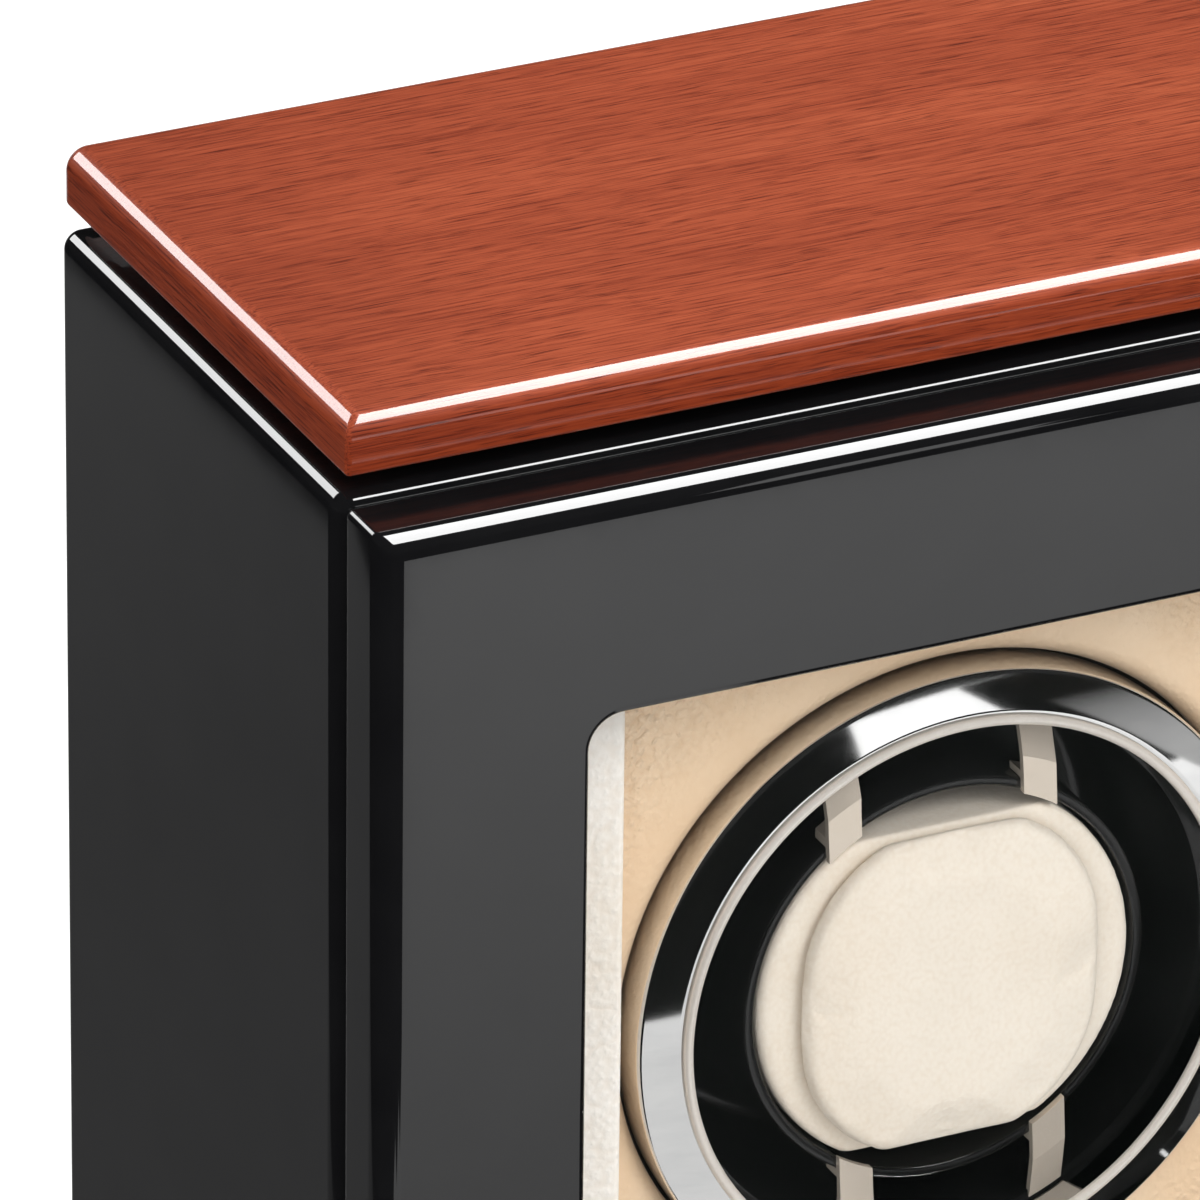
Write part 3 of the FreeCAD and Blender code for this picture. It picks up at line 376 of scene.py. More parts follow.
def leatherette(name, low, middle, high, pebble, depth, shown=0.6, smooth_near=None):
    """Cream leatherette: a fine pebble with soft wear and painted shade in its valleys, pulled smooth near a
    round opening if there is one.
    """
    made = Finish(name, Sheen_Weight=0.12, Sheen_Roughness=0.5, Specular_IOR_Level=0.3)
    wander = made.node("ShaderNodeTexNoise")
    wander.inputs["Scale"].default_value = 0.6 / pebble
    made.link(made.place, wander.inputs["Vector"])
    shaken = made.node("ShaderNodeVectorMath", operation="MULTIPLY_ADD")
    made.link(wander.outputs["Color"], shaken.inputs[0])
    shaken.inputs[1].default_value = (0.8 * pebble,) * 3
    made.link(made.place, shaken.inputs[2])
    cells = made.cells(shaken.outputs[0], 1 / pebble)
    fine = made.noise(made.place, 2.2 / pebble, 2)
    tint = made.noise(made.place, 30, 3, 0.5)
    ground = made.ramp(tint, (0.3, low), (0.5, middle), (0.72, high))
    # Painted shade: the pebble's valleys are tinted a darker tan, as shade in its hollows.
    valley_shade = made.ramp(cells, (0.3, (1, 1, 1, 1)), (0.75, (0.87, 0.80, 0.72, 1)))
    if smooth_near:
        offset = made.node("ShaderNodeVectorMath", operation="SUBTRACT")
        made.link(made.place, offset.inputs[0])
        offset.inputs[1].default_value = AXIS
        flat = made.node("ShaderNodeVectorMath", operation="MULTIPLY")
        made.link(offset.outputs[0], flat.inputs[0])
        flat.inputs[1].default_value = (1, 0, 1)
        reach = made.node("ShaderNodeVectorMath", operation="LENGTH")
        made.link(flat.outputs[0], reach.inputs[0])
        shown = made.span(reach.outputs["Value"], 0.12, 0.75, smooth_near, smooth_near + 0.02)
    made.colour(made.mixed(ground, valley_shade, shown, "MULTIPLY"))
    made.gloss(made.span(cells, 0.42, 0.62))
    height = made.sums(made.sums(cells, -1.0, "MULTIPLY"), made.sums(fine, 0.3, "MULTIPLY"))
    made.relief(made.sums(height, shown, "MULTIPLY"), depth, 1.0)
    return made.material


def chrome_plate():
    """Bright chrome plating, with faint wipe marks in its polish."""
    made = Finish("chrome_plate", Metallic=1.0)
    marks = made.noise(made.stretched((60, 60, 220)), 1, 4, 0.6)
    made.colour(made.ramp(marks, (0.3, (0.78, 0.78, 0.78, 1)), (0.7, (0.86, 0.86, 0.85, 1))))
    made.gloss(made.span(marks, 0.03, 0.075))
    return made.material


def gloss_black_moulding():
    """The bowl's glossy black plastic, with a faint moulded haze."""
    made = Finish("gloss_black_moulding", Specular_IOR_Level=0.5)
    haze = made.noise(made.place, 120, 3)
    made.colour(made.ramp(haze, (0.3, (0.004, 0.004, 0.004, 1)), (0.7, (0.008, 0.008, 0.008, 1))))
    made.gloss(made.span(haze, 0.12, 0.22))
    made.relief(made.noise(made.place, 300, 1), 0.00002, 0.3)
    return made.material


def low_glare_glass():
    """Clear low-glare glass that the rotor shows through, with a trace of dust."""
    made = Finish("low_glare_glass", Base_Color=(0.02, 0.025, 0.023, 1), IOR=1.45)
    dust = made.noise(made.place, 26, 5, 0.65)
    made.link(made.span(dust, 0.03, 0.06, 0.35, 0.75), made.shader.inputs["Alpha"])
    made.gloss(made.span(dust, 0.02, 0.08))
    return made.material


def moulded(name, low, high, rough, grain, depth, **sockets):
    """A finish with a fine all-over grain: rubber, textured plastic, plated steel."""
    made = Finish(name, **sockets)
    speckle = made.noise(made.place, grain, 3, 0.6)
    cloud = made.noise(made.place, grain / 40, 3)
    speckled = made.ramp(speckle, (0.3, low), (0.7, high))
    clouded = made.ramp(cloud, (0.3, low), (0.7, high))
    made.colour(made.mixed(speckled, clouded, 0.4))
    made.gloss(made.span(speckle, rough[0], rough[1], 0.25, 0.75))
    made.relief(speckle, depth, 0.4)
    return made.material


def fibreboard():
    made = Finish("fibreboard", Specular_IOR_Level=0.25)
    fibres = made.noise(made.stretched((260, 900, 900)), 1, 5, 0.7)
    made.colour(made.ramp(fibres, (0.3, tone(146, 112, 78)), (0.7, tone(188, 154, 114))))
    made.gloss(made.span(fibres, 0.75, 0.9))
    made.relief(fibres, 0.0001, 0.4)
    return made.material


LACQUER = black_lacquer()
MAHOGANY = mahogany_veneer()
PANEL_LEATHER = leatherette("cream_leatherette", tone(233, 201, 165), tone(237, 208, 174),
                            tone(241, 215, 184), 0.0012, 0.0015, smooth_near=0.066)
LINER_LEATHER = leatherette("pale_leatherette", tone(247, 239, 227), tone(251, 245, 236),
                            tone(253, 249, 243), 0.0014, 0.0007, shown=0.4)
PILLOW_LEATHER = leatherette("pillow_leatherette", tone(227, 215, 198), tone(231, 221, 206),
                             tone(235, 226, 212), 0.0008, 0.00022, shown=0.3)
CHROME = chrome_plate()
BOWL_BLACK = gloss_black_moulding()
GLASS = low_glare_glass()
RUBBER = moulded("black_rubber", (0.012, 0.012, 0.012, 1), (0.028, 0.028, 0.028, 1),
                 (0.65, 0.85), 1500, 0.0001)
STEEL = moulded("zinc_plated_steel", (0.42, 0.43, 0.45, 1), (0.58, 0.58, 0.58, 1),
                (0.3, 0.45), 900, 0.00002, Metallic=1.0)
NICKEL = moulded("satin_nickel", (0.52, 0.51, 0.49, 1), (0.64, 0.63, 0.61, 1),
                 (0.22, 0.34), 1400, 0.00002, Metallic=1.0)
BRONZE = moulded("sintered_bronze", (0.40, 0.26, 0.10, 1), (0.60, 0.40, 0.17, 1),
                 (0.4, 0.55), 2200, 0.00005, Metallic=1.0)
PLASTIC = moulded("textured_black_plastic", (0.010, 0.010, 0.010, 1), (0.022, 0.022, 0.022, 1),
                  (0.45, 0.62), 2300, 0.00012)
# Painted reflection, partly: the bead's satin silver has a cream, partly diffuse colour that stands in for
# the cream leatherette a chrome bead mirrors.
SATIN_AND_PAINTED_REFLECTION = moulded("satin_silver_painted_reflection", tone(226, 218, 208), tone(238, 232, 224),
                (0.3, 0.42), 1800, 0.00001, Metallic=0.35)
# Painted reflection, partly: the clip plate's cream, partly diffuse colour stands in for the cream
# leatherette that chrome clips mirror.
CLIP_METAL_AND_PAINTED_REFLECTION = moulded("satin_clip_plate_painted_reflection", tone(224, 211, 194), tone(232, 220, 205),
                     (0.2, 0.28), 5000, 0.000004, Metallic=0.55)
CIRCUIT = moulded("green_solder_mask", (0.008, 0.09, 0.035, 1), (0.02, 0.16, 0.06, 1),
                  (0.25, 0.4), 800, 0.00003)
PRINT = moulded("white_print", (0.68, 0.68, 0.66, 1), (0.80, 0.80, 0.78, 1),
                (0.5, 0.65), 2500, 0.00002)
BOARD = fibreboard()

SLOT_FINISHES = {
    "lacquer": LACQUER, "mahogany": MAHOGANY, "chrome": CHROME, "glass": GLASS,
    "cream_leather": PANEL_LEATHER, "cushion_leather": PILLOW_LEATHER,
    "bowl_plastic": BOWL_BLACK, "control_plastic": PLASTIC, "rubber": RUBBER, "circuit": CIRCUIT,
    "steel": STEEL, "hinge_metal": NICKEL, "bush_brass": BRONZE, "plain_board": BOARD,
}
for subpart in frame["record"]["subparts"]:
    solid = frame["nodes"][subpart["node"]]
    solid.data.materials.clear()
    solid.data.materials.append(SLOT_FINISHES[subpart["material_slot"]])


# Case: one lacquered box without seams, open at the front and the back

CASE_ROUND = 3.5 * MM
case_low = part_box("carcass_left")[0]
case_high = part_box("carcass_right")[1]
board_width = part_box("carcass_left")[1].x - case_low.x
lacquer_case = block("lacquer_case", case_low, case_high)
round_over(lacquer_case, lambda edge: True, CASE_ROUND, 10)
cut_out(lacquer_case, block(
    "case_inside", (case_low.x + board_width, case_low.y - 0.01, case_low.z + board_width),
    (case_high.x - board_width, case_high.y + 0.01, case_high.z - board_width)))
polish(lacquer_case)
stands_for(lacquer_case, "case", LACQUER, "lacquer",
           "carcass_left", "carcass_right", "carcass_top", "carcass_bottom")

# Wood top: rounded over above and at its back corners, mitred at its front corners, eased below

TOP_BACK_CORNER, TOP_ROUND, TOP_MITRE_EASE, TOP_LOWER_EASE = 4.5 * MM, 4.4 * MM, 0.9 * MM, 0.8 * MM
STILL_SHARP = 0.7  # radians between two faces
top_low, top_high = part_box("wood_top")


def on_front_corner(edge):
    """A test for the top's two front corner edges and the sharp part of the mitres above them."""
    places = corners(edge)
    at_end = max(abs(place.x) for place in places) > top_high.x - 4 * MM
    in_front = max(place.y for place in places) < 0
    return (at_end and in_front and edge.calc_face_angle(0) > STILL_SHARP
            and not lies_at(Z, top_low.z)(edge))


wood_top = block("mahogany_top", top_low, top_high)
round_over(wood_top, lambda edge: runs_along(Z)(edge) and lies_at(Y, top_high.y)(edge), TOP_BACK_CORNER, 12)
round_over(wood_top, lies_at(Z, top_high.z), TOP_ROUND, 12)
round_over(wood_top, on_front_corner, TOP_MITRE_EASE, 5)
round_over(wood_top, lies_at(Z, top_low.z), TOP_LOWER_EASE, 4)
polish(wood_top)
stands_for(wood_top, "case", MAHOGANY, "mahogany", "wood_top")

# Door leaf: rounded over with eased mitres, with a round-cornered window and a rebate for the glass

def in_opening(half_width, half_height):
    """A test for what lies in or on an opening around the rotor's axis."""
    return lambda item: all(abs(c.x) < half_width + 2e-5 and abs(c.z - AXIS.z) < half_height + 2e-5
                            for c in corners(item))


def open_up(piece, half_width, half_height, corner, edge_round):
    """Cuts an opening around the rotor's axis through a piece and rounds over its front edge."""
    front, back = (piece.bound_box[corner_number][Y] for corner_number in (0, 6))
    cutter = block("opening", (-half_width, front - 0.01, AXIS.z - half_height),
                   (half_width, back + 0.01, AXIS.z + half_height))
    round_over(cutter, runs_along(Y), corner, 10)
    cut_out(piece, cutter)
    inside = in_opening(half_width, half_height)
    round_over(piece, lambda edge: lies_at(Y, front)(edge) and inside(edge), edge_round, 6)


DOOR_FRONT_ROUND, DOOR_BACK_ROUND, DOOR_MITRE_EASE = 4.2 * MM, 1.9 * MM, 1.3 * MM
WINDOW_HALF_WIDTH, WINDOW_HALF_HEIGHT, WINDOW_CORNER, WINDOW_ROUND = 81 * MM, 79.8 * MM, 6 * MM, 1.5 * MM
GLASS_PLAY = 0.3 * MM
door_low, door_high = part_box("door_frame")
glass_low, glass_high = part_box("door_glass")
door_leaf = block("door_leaf", door_low, door_high)
round_over(door_leaf, lies_at(Y, door_low.y), DOOR_FRONT_ROUND, 12)
round_over(door_leaf, lies_at(Y, door_high.y), DOOR_BACK_ROUND, 6)
round_over(door_leaf, lambda edge: edge.calc_face_angle(0) > STILL_SHARP, DOOR_MITRE_EASE, 6)
open_up(door_leaf, WINDOW_HALF_WIDTH, WINDOW_HALF_HEIGHT, WINDOW_CORNER, WINDOW_ROUND)
cut_out(door_leaf, block(
    "glass_rebate", (glass_low.x - GLASS_PLAY, glass_low.y, glass_low.z - GLASS_PLAY),
    (glass_high.x + GLASS_PLAY, door_high.y + 1 * MM, glass_high.z + GLASS_PLAY)))
polish(door_leaf)
stands_for(door_leaf, "door", LACQUER, "lacquer", "door_frame")

# Leatherette liner around the rotor's recess, and the rotor panel behind it

LINER_HALF_WIDTH, LINER_HALF_HEIGHT, LINER_ROUND = 66 * MM, 86 * MM, 1.5 * MM
liner = block("leatherette_liner", *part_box("liner_frame"))
open_up(liner, LINER_HALF_WIDTH, LINER_HALF_HEIGHT, LINER_ROUND, LINER_ROUND)
polish(liner)
stands_for(liner, "case", LINER_LEATHER, "cream_leather", "liner_frame")

ROTOR_HOLE, HOLE_ROLL = 60.35, 4
panel_low, panel_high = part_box("rotor_panel")
front, back = panel_low.y / MM, panel_high.y / MM
rotor_panel = block("leatherette_rotor_panel", panel_low, panel_high)
hole = turned("rotor_hole", [(ROTOR_HOLE, front - 3), (ROTOR_HOLE, back + 3)], 160, capped=True)
cut_out(rotor_panel, hole)


def on_hole_rim(edge):
    """A test for the front rim of the panel's round hole."""
    near = all((place - AXIS).xz.length < (ROTOR_HOLE + 1.6) * MM for place in corners(edge))
    return near and lies_at(Y, panel_low.y)(edge)


round_over(rotor_panel, on_hole_rim, HOLE_ROLL * MM, 8)
polish(rotor_panel)
stands_for(rotor_panel, "case", PANEL_LEATHER, "cream_leather", "rotor_panel")

# Rotor: chrome bezel, black bowl and the inner cup

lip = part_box("bezel")[0].y / MM
bezel_outline = [(52.2, lip + 1.2), (52.9, lip + 1.2), (53.1, lip + 1.2424), (59.09, lip + 2.512)]
bezel_outline += arc(58.88, lip + 3.49, 1, -78, 0, 8)[1:]
bezel_outline += [(59.88, lip + 14), (58.7, lip + 14), (58.7, lip + 8), (50.9, lip + 8)]
bezel_outline += [(50.9, lip + 1.2), (52.2, lip + 1.2)]
bezel = turned("chrome_bezel", bezel_outline, 160)
polish(bezel, 24, weighted=False)
stands_for(bezel, "rotor", CHROME, "chrome", "bezel")

lip_bead = turned("satin_lip_bead", arc(51.35, lip + 0.95, 0.95, 180, 360, 14)
                  + [(52.3, lip + 1.3), (50.4, lip + 1.3), (50.4, lip + 0.95)], 160)
polish(lip_bead, 40, weighted=False)
stands_for(lip_bead, "rotor", SATIN_AND_PAINTED_REFLECTION, "chrome")

bowl_front, bowl_back = (corner.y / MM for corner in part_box("rotor_bowl"))
bowl_outline = [(0.2, bowl_back - 3), (42, bowl_back - 3)] + arc(43.4, bowl_back - 9, 6, 90, 0, 8)
bowl_outline += [(49.4, bowl_front), (58.5, bowl_front), (58.5, bowl_front + 3), (51.9, bowl_front + 3)]
bowl_outline += [(51.9, bowl_back), (0.2, bowl_back)]
bowl = turned("rotor_bowl_moulding", bowl_outline, 128, capped=True)
polish(bowl, 35, weighted=False)
stands_for(bowl, "rotor", BOWL_BLACK, "bowl_plastic", "rotor_bowl")

cup_front, cup_back = (corner.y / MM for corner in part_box("inner_cup"))
cup_outline = [(0.2, cup_back - 2), (36, cup_back - 2), (36, cup_front + 0.6)]
cup_outline += arc(36.6, cup_front + 0.6, 0.6, 180, 270, 4) + arc(37.4, cup_front + 0.6, 0.6, 270, 360, 4)
cup_outline += [(38, cup_back - 0.8)] + arc(37.2, cup_back - 0.8, 0.8, 0, 90, 4) + [(0.2, cup_back)]
cup = turned("cushion_cup", cup_outline, 128, capped=True)
polish(cup, 35, weighted=False)
stands_for(cup, "rotor", BOWL_BLACK, "bowl_plastic", "inner_cup")


CLIP_NEAR, CLIP_FAR = -15.3, -21.5


def clip_strip():
    """An upright strip of a bent ring: a plate, a leg beside the cup and one down the bezel's wall."""
    face = cup_front - 1.3
    outline = [(35.8, face), (42.5, face), (50.3, face + 2), (50.3, bowl_front), (49.1, bowl_front)]
    outline += [(49.1, face + 3), (42.2, cup_front), (39.4, cup_front), (39.4, cup_front + 4)]
    outline += [(38.1, cup_front + 4), (38.1, cup_front), (35.8, cup_front), (35.8, face)]
    strip = turned("cushion_clip", outline, 240)
    for across, way in ((CLIP_FAR, (-1, 0, 0)), (CLIP_NEAR, (1, 0, 0)), (0, (0, 0, -1))):
        choose(strip, "FACE", lambda item: True)
        bpy.ops.mesh.bisect(plane_co=AXIS + Vector((across, 0, 0)) * MM, plane_no=way, use_fill=True,
                            clear_outer=True)
    put_down()
    polish(strip, 12, weighted=False)
    return strip


def mirrored(piece, name):
    """A copy on the other side of the rotor's upright plane."""
    twin = copy_of(piece, name)
    choose(twin, "FACE", lambda item: True)
    bpy.ops.transform.resize(value=(-1, 1, 1), center_override=(0, 0, 0))
    bpy.ops.mesh.flip_normals()
    put_down()
    return twin


CLIP_TURN = -3
upper_left = clip_strip()
upper_right = mirrored(upper_left, "cushion_clip_twin")
clips = [(upper_left, 0), (upper_right, 0), (copy_of(upper_left, "cushion_clip_low"), 180),
         (copy_of(upper_right, "cushion_clip_low_twin"), 180)]
for number, (clip, degrees) in enumerate(clips, start=1):
    turned_about(clip, AXIS, "Y", degrees + CLIP_TURN)
    clip.name = f"chrome_clip_{number}"
    stands_for(clip, "rotor", CLIP_METAL_AND_PAINTED_REFLECTION, "chrome", f"cushion_clip_{number}")

# Cushion: a flanged base with flats above and below, and the soft pillow in front of it


def flattened(piece, half):
    """Cuts the round sides off flat above and below the axis."""
    for way in (1, -1):
        choose(piece, "FACE", lambda face: True)
        bpy.ops.mesh.bisect(plane_co=(0, 0, AXIS.z + way * half), plane_no=(0, 0, way), use_fill=True,
                            clear_outer=True)
    put_down()


def soft_skin(piece, fineness, smoothings):
    """An even skin of small faces over the shape, smoothed so that its edges turn soft."""
    remesh = piece.modifiers.new("even_skin", "REMESH")
    remesh.mode = "VOXEL"
    remesh.voxel_size = fineness
    apply_last(piece)
    soften = piece.modifiers.new("soften", "SMOOTH")
    soften.factor = 0.5
    soften.iterations = smoothings
    apply_last(piece)


base_low, base_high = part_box("cushion_base")
base_front, base_back = base_low.y / MM, base_high.y / MM
base_outline = [(0.2, base_front), (20, base_front), (33.8, base_front + 0.15)]
base_outline += arc(33.8, base_front + 1.65, 1.5, 270, 360, 6) + [(35.3, base_back), (0.2, base_back)]
cushion_base = turned("cushion_flange", base_outline, 128, capped=True)
flattened(cushion_base, 29.9 * MM)
soft_skin(cushion_base, 0.9 * MM, 6)
polish(cushion_base, 60, weighted=False)
stands_for(cushion_base, "cushion_unit", PILLOW_LEATHER, "cushion_leather", "cushion_base")

pillow_low, pillow_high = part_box("cushion")
pillow_front, pillow_back = pillow_low.y / MM, pillow_high.y / MM
PILLOW_HALF_WIDTH, PILLOW_HALF_HEIGHT, PILLOW_CORNER, PILLOW_FLAT = 28.1, 31.6, 25.6, 29.6
PILLOW_PUFF, PILLOW_ROUND, PILLOW_TUCK = 0.9, 2.9, 0.94
pillow_face = pillow_front + PILLOW_PUFF
pillow = block(
    "watch_pillow", (-PILLOW_HALF_WIDTH * MM, pillow_face * MM, AXIS.z - PILLOW_HALF_HEIGHT * MM),
    (PILLOW_HALF_WIDTH * MM, pillow_back * MM, AXIS.z + PILLOW_HALF_HEIGHT * MM))
round_over(pillow, runs_along(Y), PILLOW_CORNER * MM, 14)
flattened(pillow, PILLOW_FLAT * MM)
round_over(pillow, lies_at(Y, pillow_face * MM), PILLOW_ROUND * MM, 10)
choose(pillow, "VERT", lies_at(Y, pillow_back * MM))
bpy.ops.transform.resize(value=(PILLOW_TUCK, 1, PILLOW_TUCK), center_override=AXIS)
put_down()


def puff_up(piece, held_behind, most):
    """Fills the cover with air by cloth simulation, and holds its back where it's glued down."""
    soft_skin(piece, 0.8 * MM, 4)
    held = piece.vertex_groups.new(name="held")
    held.add([vert.index for vert in piece.data.vertices if vert.co.y > held_behind], 1.0, "ADD")
    before = [vert.co.copy() for vert in piece.data.vertices]
    cloth = piece.modifiers.new("stuffing", "CLOTH")
    cloth.settings.quality = 6
    cloth.settings.mass = 0.0004
    cloth.settings.use_pressure = True
    cloth.settings.uniform_pressure_force = 4
    cloth.settings.effector_weights.gravity = 0
    cloth.settings.vertex_group_mass = "held"
    cloth.settings.tension_stiffness = 4
    cloth.settings.compression_stiffness = 4
    cloth.settings.bending_stiffness = 0.05
    cloth.point_cache.frame_end = 20
    for step in range(1, 21):
        bpy.context.scene.frame_set(step)
    apply_last(piece)
    bpy.context.scene.frame_set(1)
    for vert, old in zip(piece.data.vertices, before):
        step = vert.co - old
        if step.length > most:
            vert.co = old + step * (most / step.length)
    finer = piece.modifiers.new("finer", "SUBSURF")
    finer.levels = finer.render_levels = 1
    apply_last(piece)


puff_up(pillow, (pillow_back - 0.9) * MM, PILLOW_PUFF * MM)
polish(pillow, 60, weighted=False)
stands_for(pillow, "cushion_unit", PILLOW_LEATHER, "cushion_leather", "cushion")

# Rear: cross-slotted cover screws, the program knob with its dial, the rocker's marks and the socket's pin

cover_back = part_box("rear_cover")[1].y / MM
screws_low, screws_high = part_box("rear_cover_screws")
SCREW_HEAD = 3


def cover_screw(name):
    """A domed screw head with a cross slot."""
    centre = Vector((screws_low.x + SCREW_HEAD * MM, 0, screws_low.z + SCREW_HEAD * MM))
    outline = [(0.1, cover_back), (SCREW_HEAD, cover_back), (SCREW_HEAD, cover_back + 0.7)]
    outline += arc(SCREW_HEAD - 1.2, cover_back + 0.7, 1.2, 10, 75, 6) + [(0.1, cover_back + 2)]
    head = turned(name, outline, 40, centre, capped=True)
    for half_width, half_height in ((1.7, 0.35), (0.35, 1.7)):
        half_slot = Vector((half_width, 0, half_height)) * MM
        floor, above = Vector((0, cover_back + 1, 0)) * MM, Vector((0, cover_back + 3, 0)) * MM
        cut_out(head, block("slot", centre + floor - half_slot, centre + above + half_slot))
    polish(head, 40, weighted=False)
    return head


first_screw = cover_screw("cover_screw_1")
across, upwards = (screws_high - screws_low - Vector((2, 0, 2)) * SCREW_HEAD * MM).xz
for number, offset in enumerate(((0, 0, 0), (across, 0, 0), (0, 0, upwards), (across, 0, upwards)), start=1):
    screw = first_screw if number == 1 else copy_of(first_screw, f"cover_screw_{number}")
    screw.location = offset
    stands_for(set_in_place(screw), "case", STEEL, "steel", *(["rear_cover_screws"] if number == 1 else []))

knob_low, knob_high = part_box("program_knob")
knob_centre = Vector(((knob_low.x + knob_high.x) / 2, 0, (knob_low.z + knob_high.z) / 2))
KNOB_RADIUS, KNOB_HEIGHT = 9, 8
knob_end = knob_high.y / MM
knob_base = knob_end - KNOB_HEIGHT
knob_outline = [(3, knob_base - 10), (3, knob_base), (KNOB_RADIUS, knob_base), (KNOB_RADIUS, knob_end - 1.2)]
knob_outline += arc(KNOB_RADIUS - 1.2, knob_end - 1.2, 1.2, 0, 90, 6) + [(0.2, knob_end)]
knob = turned("program_knob_turned", knob_outline, 72, knob_centre, capped=True)


def on_knurl(face):
    """Every second face around the knob's rim."""
    middle = face.calc_center_median()
    around = math.degrees(math.atan2(middle.z - knob_centre.z, middle.x - knob_centre.x)) % 360
    rim = abs(face.normal.y) < 0.1 and (middle - knob_centre).xz.length > (KNOB_RADIUS - 0.5) * MM
    return rim and int(around / 5) % 2 == 0


choose(knob, "FACE", on_knurl)
bpy.ops.mesh.inset(thickness=0.12 * MM, depth=-0.4 * MM, use_individual=True)
put_down()
polish(knob, 30, weighted=False)
stands_for(knob, "program_dial", PLASTIC, "control_plastic", "program_knob")
knob_mark = block("knob_mark", (knob_centre.x - 0.5 * MM, (knob_end - 0.3) * MM, knob_centre.z + 2 * MM),
                  (knob_centre.x + 0.5 * MM, (knob_end + 0.05) * MM, knob_centre.z + 7.4 * MM))
stands_for(knob_mark, "program_dial", PRINT, "control_plastic")

for number, degrees in enumerate((-135, -67.5, 0, 67.5, 135), start=1):
    tick = block(f"dial_tick_{number}",
                 (knob_centre.x - 0.35 * MM, (cover_back - 0.1) * MM, knob_centre.z + 10.6 * MM),
                 (knob_centre.x + 0.35 * MM, (cover_back + 0.06) * MM, knob_centre.z + 13 * MM))
    turned_about(tick, knob_centre, "Y", degrees)
    stands_for(tick, "case", PRINT, "control_plastic")

# The rocker rests tipped, so its two marks lie at different depths on its dished face.

rocker_low, rocker_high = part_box("power_rocker")
rocker_middle = Vector((0, 0, (rocker_low.z + rocker_high.z) / 2))
on_depth, off_depth = rocker_high.y / MM - 1.64, rocker_high.y / MM - 0.7
on_mark = block("switch_on_mark", (4.45 * MM, (on_depth - 0.2) * MM, rocker_middle.z - 1.6 * MM),
                (5.15 * MM, (on_depth + 0.06) * MM, rocker_middle.z + 1.6 * MM))
stands_for(on_mark, "power_switch", PRINT, "control_plastic")
off_centre = rocker_middle + Vector((-4.135 * MM, 0, 0))
off_outline = [(0.95, off_depth - 0.2), (0.95, off_depth + 0.05), (1.55, off_depth + 0.05)]
off_outline += [(1.55, off_depth - 0.2), (0.95, off_depth - 0.2)]
off_mark = turned("switch_off_mark", off_outline, 32, off_centre)
turned_about(off_mark, off_centre + Vector((0, off_depth * MM, 0)), "Z", -12.5)
stands_for(off_mark, "power_switch", PRINT, "control_plastic")

inlet_low, inlet_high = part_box("power_inlet")
inlet_centre = Vector(((inlet_low.x + inlet_high.x) / 2, 0, (inlet_low.z + inlet_high.z) / 2))
pin_end = inlet_high.y / MM - 1.5
inlet_pin = turned("socket_pin", [(0.1, pin_end - 7.4), (1, pin_end - 7.4), (1, pin_end - 0.5)]
                   + arc(0.5, pin_end - 0.5, 0.5, 0, 90, 4) + [(0.1, pin_end)], 24, inlet_centre, capped=True)
polish(inlet_pin, 40, weighted=False)
stands_for(inlet_pin, "case", STEEL, "steel")


# Stage: floor, cards that only mirrors see, lamps and the camera

def only_in_mirrors(card):
    card.visible_camera = card.visible_diffuse = card.visible_shadow = card.visible_transmission = False


def glow(name, level, grade=None):
    """A glow at one level, or graded along a direction from one place and level to another."""
    made = Finish(name, Roughness=1.0, Specular_IOR_Level=0.0, Base_Color=(0, 0, 0, 1),
                  Emission_Color=(1, 1, 1, 1), Emission_Strength=level)
    if grade:
        axis, start, end, end_level = grade
        split = made.node("ShaderNodeSeparateXYZ")
        made.link(made.place, split.inputs[0])
        graded = made.span(split.outputs[axis], level, end_level, start, end)
        made.link(graded, made.shader.inputs["Emission Strength"])
    return made.material


def lay_floor():
    put_down()
    bpy.ops.mesh.primitive_plane_add(size=16)
    floor = newest("studio_floor")
    made = Finish("pale_floor", Base_Color=(0.6, 0.6, 0.6, 1), Roughness=0.9, Specular_IOR_Level=0.0)
    rays = made.node("ShaderNodeLightPath")
    seen = made.sums(made.sums(rays.outputs["Is Camera Ray"], rays.outputs["Is Glossy Ray"], "MAXIMUM"),
                     rays.outputs["Is Transmission Ray"], "MAXIMUM")
    shine = made.node("ShaderNodeEmission")
    made.link(made.sums(seen, 0.6, "MULTIPLY"), shine.inputs["Strength"])
    both = made.node("ShaderNodeAddShader")
    made.link(made.shader.outputs[0], both.inputs[0])
    made.link(shine.outputs[0], both.inputs[1])
    made.link(both.outputs[0], made.tree.nodes["Material Output"].inputs["Surface"])
    floor.data.materials.append(made.material)


def hang_dark_room():
    put_down()
    bpy.ops.mesh.primitive_uv_sphere_add(segments=48, ring_count=24, radius=7)
    room = newest("dark_room")
    room.data.materials.append(glow("dark_room_cloth", 0.02))
    only_in_mirrors(room)


def card(name, outline, level, grade=None):
    """A card that only mirrors see, drawn by its corners, glowing at one level or graded."""
    shape = bmesh.new()
    shape.faces.new([shape.verts.new(corner) for corner in outline])
    mesh = bpy.data.meshes.new(name)
    shape.to_mesh(mesh)
    shape.free()
    made = bpy.data.objects.new(name, mesh)
    bpy.context.scene.collection.objects.link(made)
    made.data.materials.append(glow(f"{name}_paper", level, grade))
    only_in_mirrors(made)


def floor_card(name, height, outline, level, grade=None):
    card(name, [(x, y, height) for x, y in outline], level, grade)


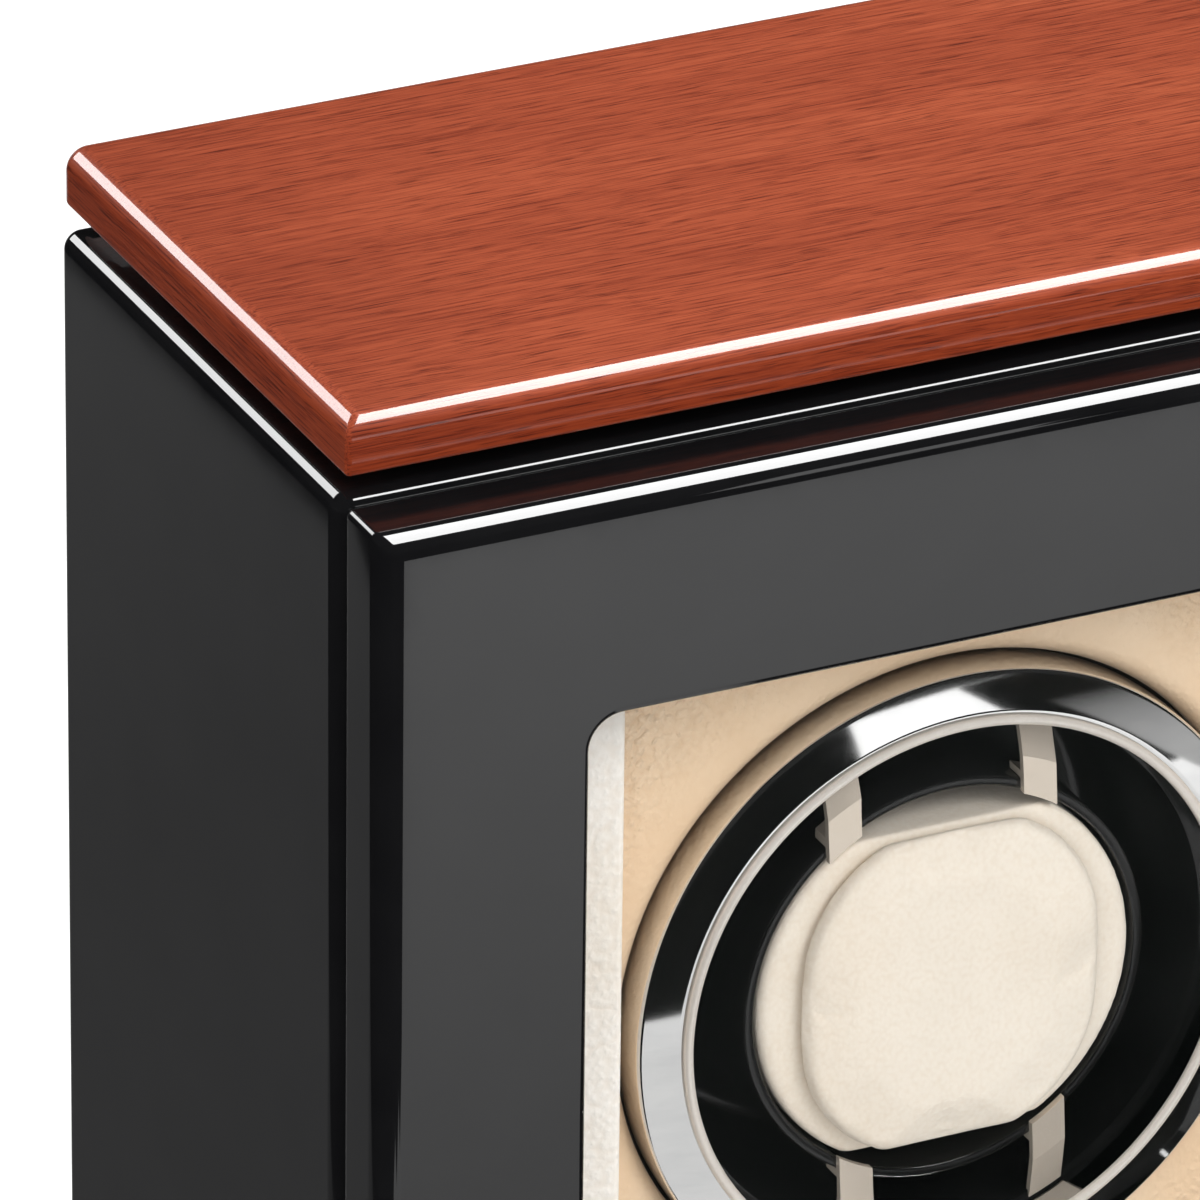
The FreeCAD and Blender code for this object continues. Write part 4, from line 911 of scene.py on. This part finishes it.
def set_up_cards():
    """Floor cards give the lacquer and the chrome their blacks and greys; pale cards draw edge lines."""
    left, front = case_low.x - 8 * MM, door_low.y + 1 * MM
    low, high = 0.0005, 0.001
    far, wide, edge, side = 6, 1.5, -0.508, -0.317
    black, jet = 0.004, 0.002
    floor_card("grey_card_front", low, [(left, edge), (wide, edge), (wide, front), (left, front)],
               1.3, (Y, -0.5, -0.26, 0.85))
    floor_card("dark_card_front", low, [(-far, -far), (far, -far), (far, edge), (-far, edge)], black)
    floor_card("dark_card_corner", high, [(-far, edge), (0.086, edge), (0, -0.325), (-0.09, -0.315),
                                          (left, front), (-far, front)], black)
    floor_card("dark_card_near", high, [(0.03, front), (0.06, -0.25), (wide, -0.25), (wide, front)], black)
    floor_card("pale_card_front", high, [(0.3, -1.15), (0.62, -1.15), (2.55, -5.9), (1.4, -5.9)], 1.5)
    floor_card("grey_card_right", high, [(0.42, -0.26), (0.5, -0.55), (0.9, -1.5), (far, -1.5), (far, -0.26)],
               0.5, (Y, -0.6, -1.5, 0.01))
    floor_card("grey_card_left", high, [(side, front), (left, front), (left, far), (side, far)],
               0.14, (Y, 0.3, 0.5, 0.2))
    floor_card("dark_card_left", high, [(-far, front), (side, front), (side, far), (-far, far)], jet)
    card("pale_card_above", [(0.5, -1.25, 2.0), (1.5, -1.25, 2.0), (1.5, 0.45, 2.0), (0.5, 0.45, 2.0)], 18)
    card("pale_card_behind", [(-0.45, 2.0, 1.2), (-0.78, 2.0, 2.14), (-1.84, 2.0, 1.28), (-0.98, 2.0, 0.77)],
         9)


def lamp(name, place, aim, size, power):
    """A soft area lamp that neither the camera nor a mirror sees."""
    light = bpy.data.lights.new(name, "AREA")
    light.shape = "RECTANGLE"
    light.size, light.size_y = size
    light.energy = power
    holder = bpy.data.objects.new(name, light)
    bpy.context.scene.collection.objects.link(holder)
    holder.location = place
    holder.rotation_euler = (Vector(aim) - Vector(place)).to_track_quat("-Z", "Y").to_euler()
    holder.visible_camera = False
    holder.visible_glossy = False


def light_world():
    world = bpy.data.worlds.new("studio_world")
    bpy.context.scene.world = world
    world.use_nodes = True
    tree = world.node_tree
    back = tree.nodes["Background"]
    back.inputs["Color"].default_value = (1, 1, 1, 1)
    rays = tree.nodes.new("ShaderNodeLightPath")
    seen = rays.outputs["Is Camera Ray"]
    for kind in ("Is Glossy Ray", "Is Transmission Ray"):
        larger = tree.nodes.new("ShaderNodeMath")
        larger.operation = "MAXIMUM"
        tree.links.new(seen, larger.inputs[0])
        tree.links.new(rays.outputs[kind], larger.inputs[1])
        seen = larger.outputs[0]
    level = tree.nodes.new("ShaderNodeMapRange")
    level.inputs["To Min"].default_value = 1.1
    level.inputs["To Max"].default_value = 1.0
    tree.links.new(seen, level.inputs["Value"])
    tree.links.new(level.outputs["Result"], back.inputs["Strength"])


def place_camera():
    """The photograph's view: from the left, a little above, close in on the upper left corner."""
    around, up_angle, roll = math.radians(-25.68), math.radians(26.69), math.radians(0.7)
    level = math.cos(up_angle)
    back = Vector((math.sin(around) * level, -math.cos(around) * level, math.sin(up_angle)))
    right = Vector((math.cos(around), math.sin(around), 0))
    up = back.cross(right)
    lean, rise = math.sin(roll), math.cos(roll)
    right, up = rise * right + lean * up, rise * up - lean * right
    data = bpy.data.cameras.new("corner_camera")
    data.lens = 392
    data.sensor_width = 36
    data.clip_end = 60
    camera = bpy.data.objects.new("corner_camera", data)
    bpy.context.scene.collection.objects.link(camera)
    turn = Matrix((right, up, back)).transposed().to_4x4()
    aim = Vector((-79.8, -66.75, 225.7)) * MM
    distance = 2.121
    camera.matrix_world = Matrix.Translation(aim + back * distance) @ turn
    bpy.context.scene.camera = camera


lay_floor()
hang_dark_room()
set_up_cards()
lamp("softbox_above", (0.2, 0.6, 2.0), (0, 0, 0.25), (1.6, 1.2), 6)
lamp("fill_in_front", (0.9, -1.8, 1.7), (0, 0, 0.15), (1.4, 1.0), 28)
lamp("fill_from_left", (-1.5, -1.4, 0.9), (0, 0, 0.15), (1.0, 1.0), 8)
light_world()
place_camera()
bpy.context.scene.view_settings.view_transform = "Standard"
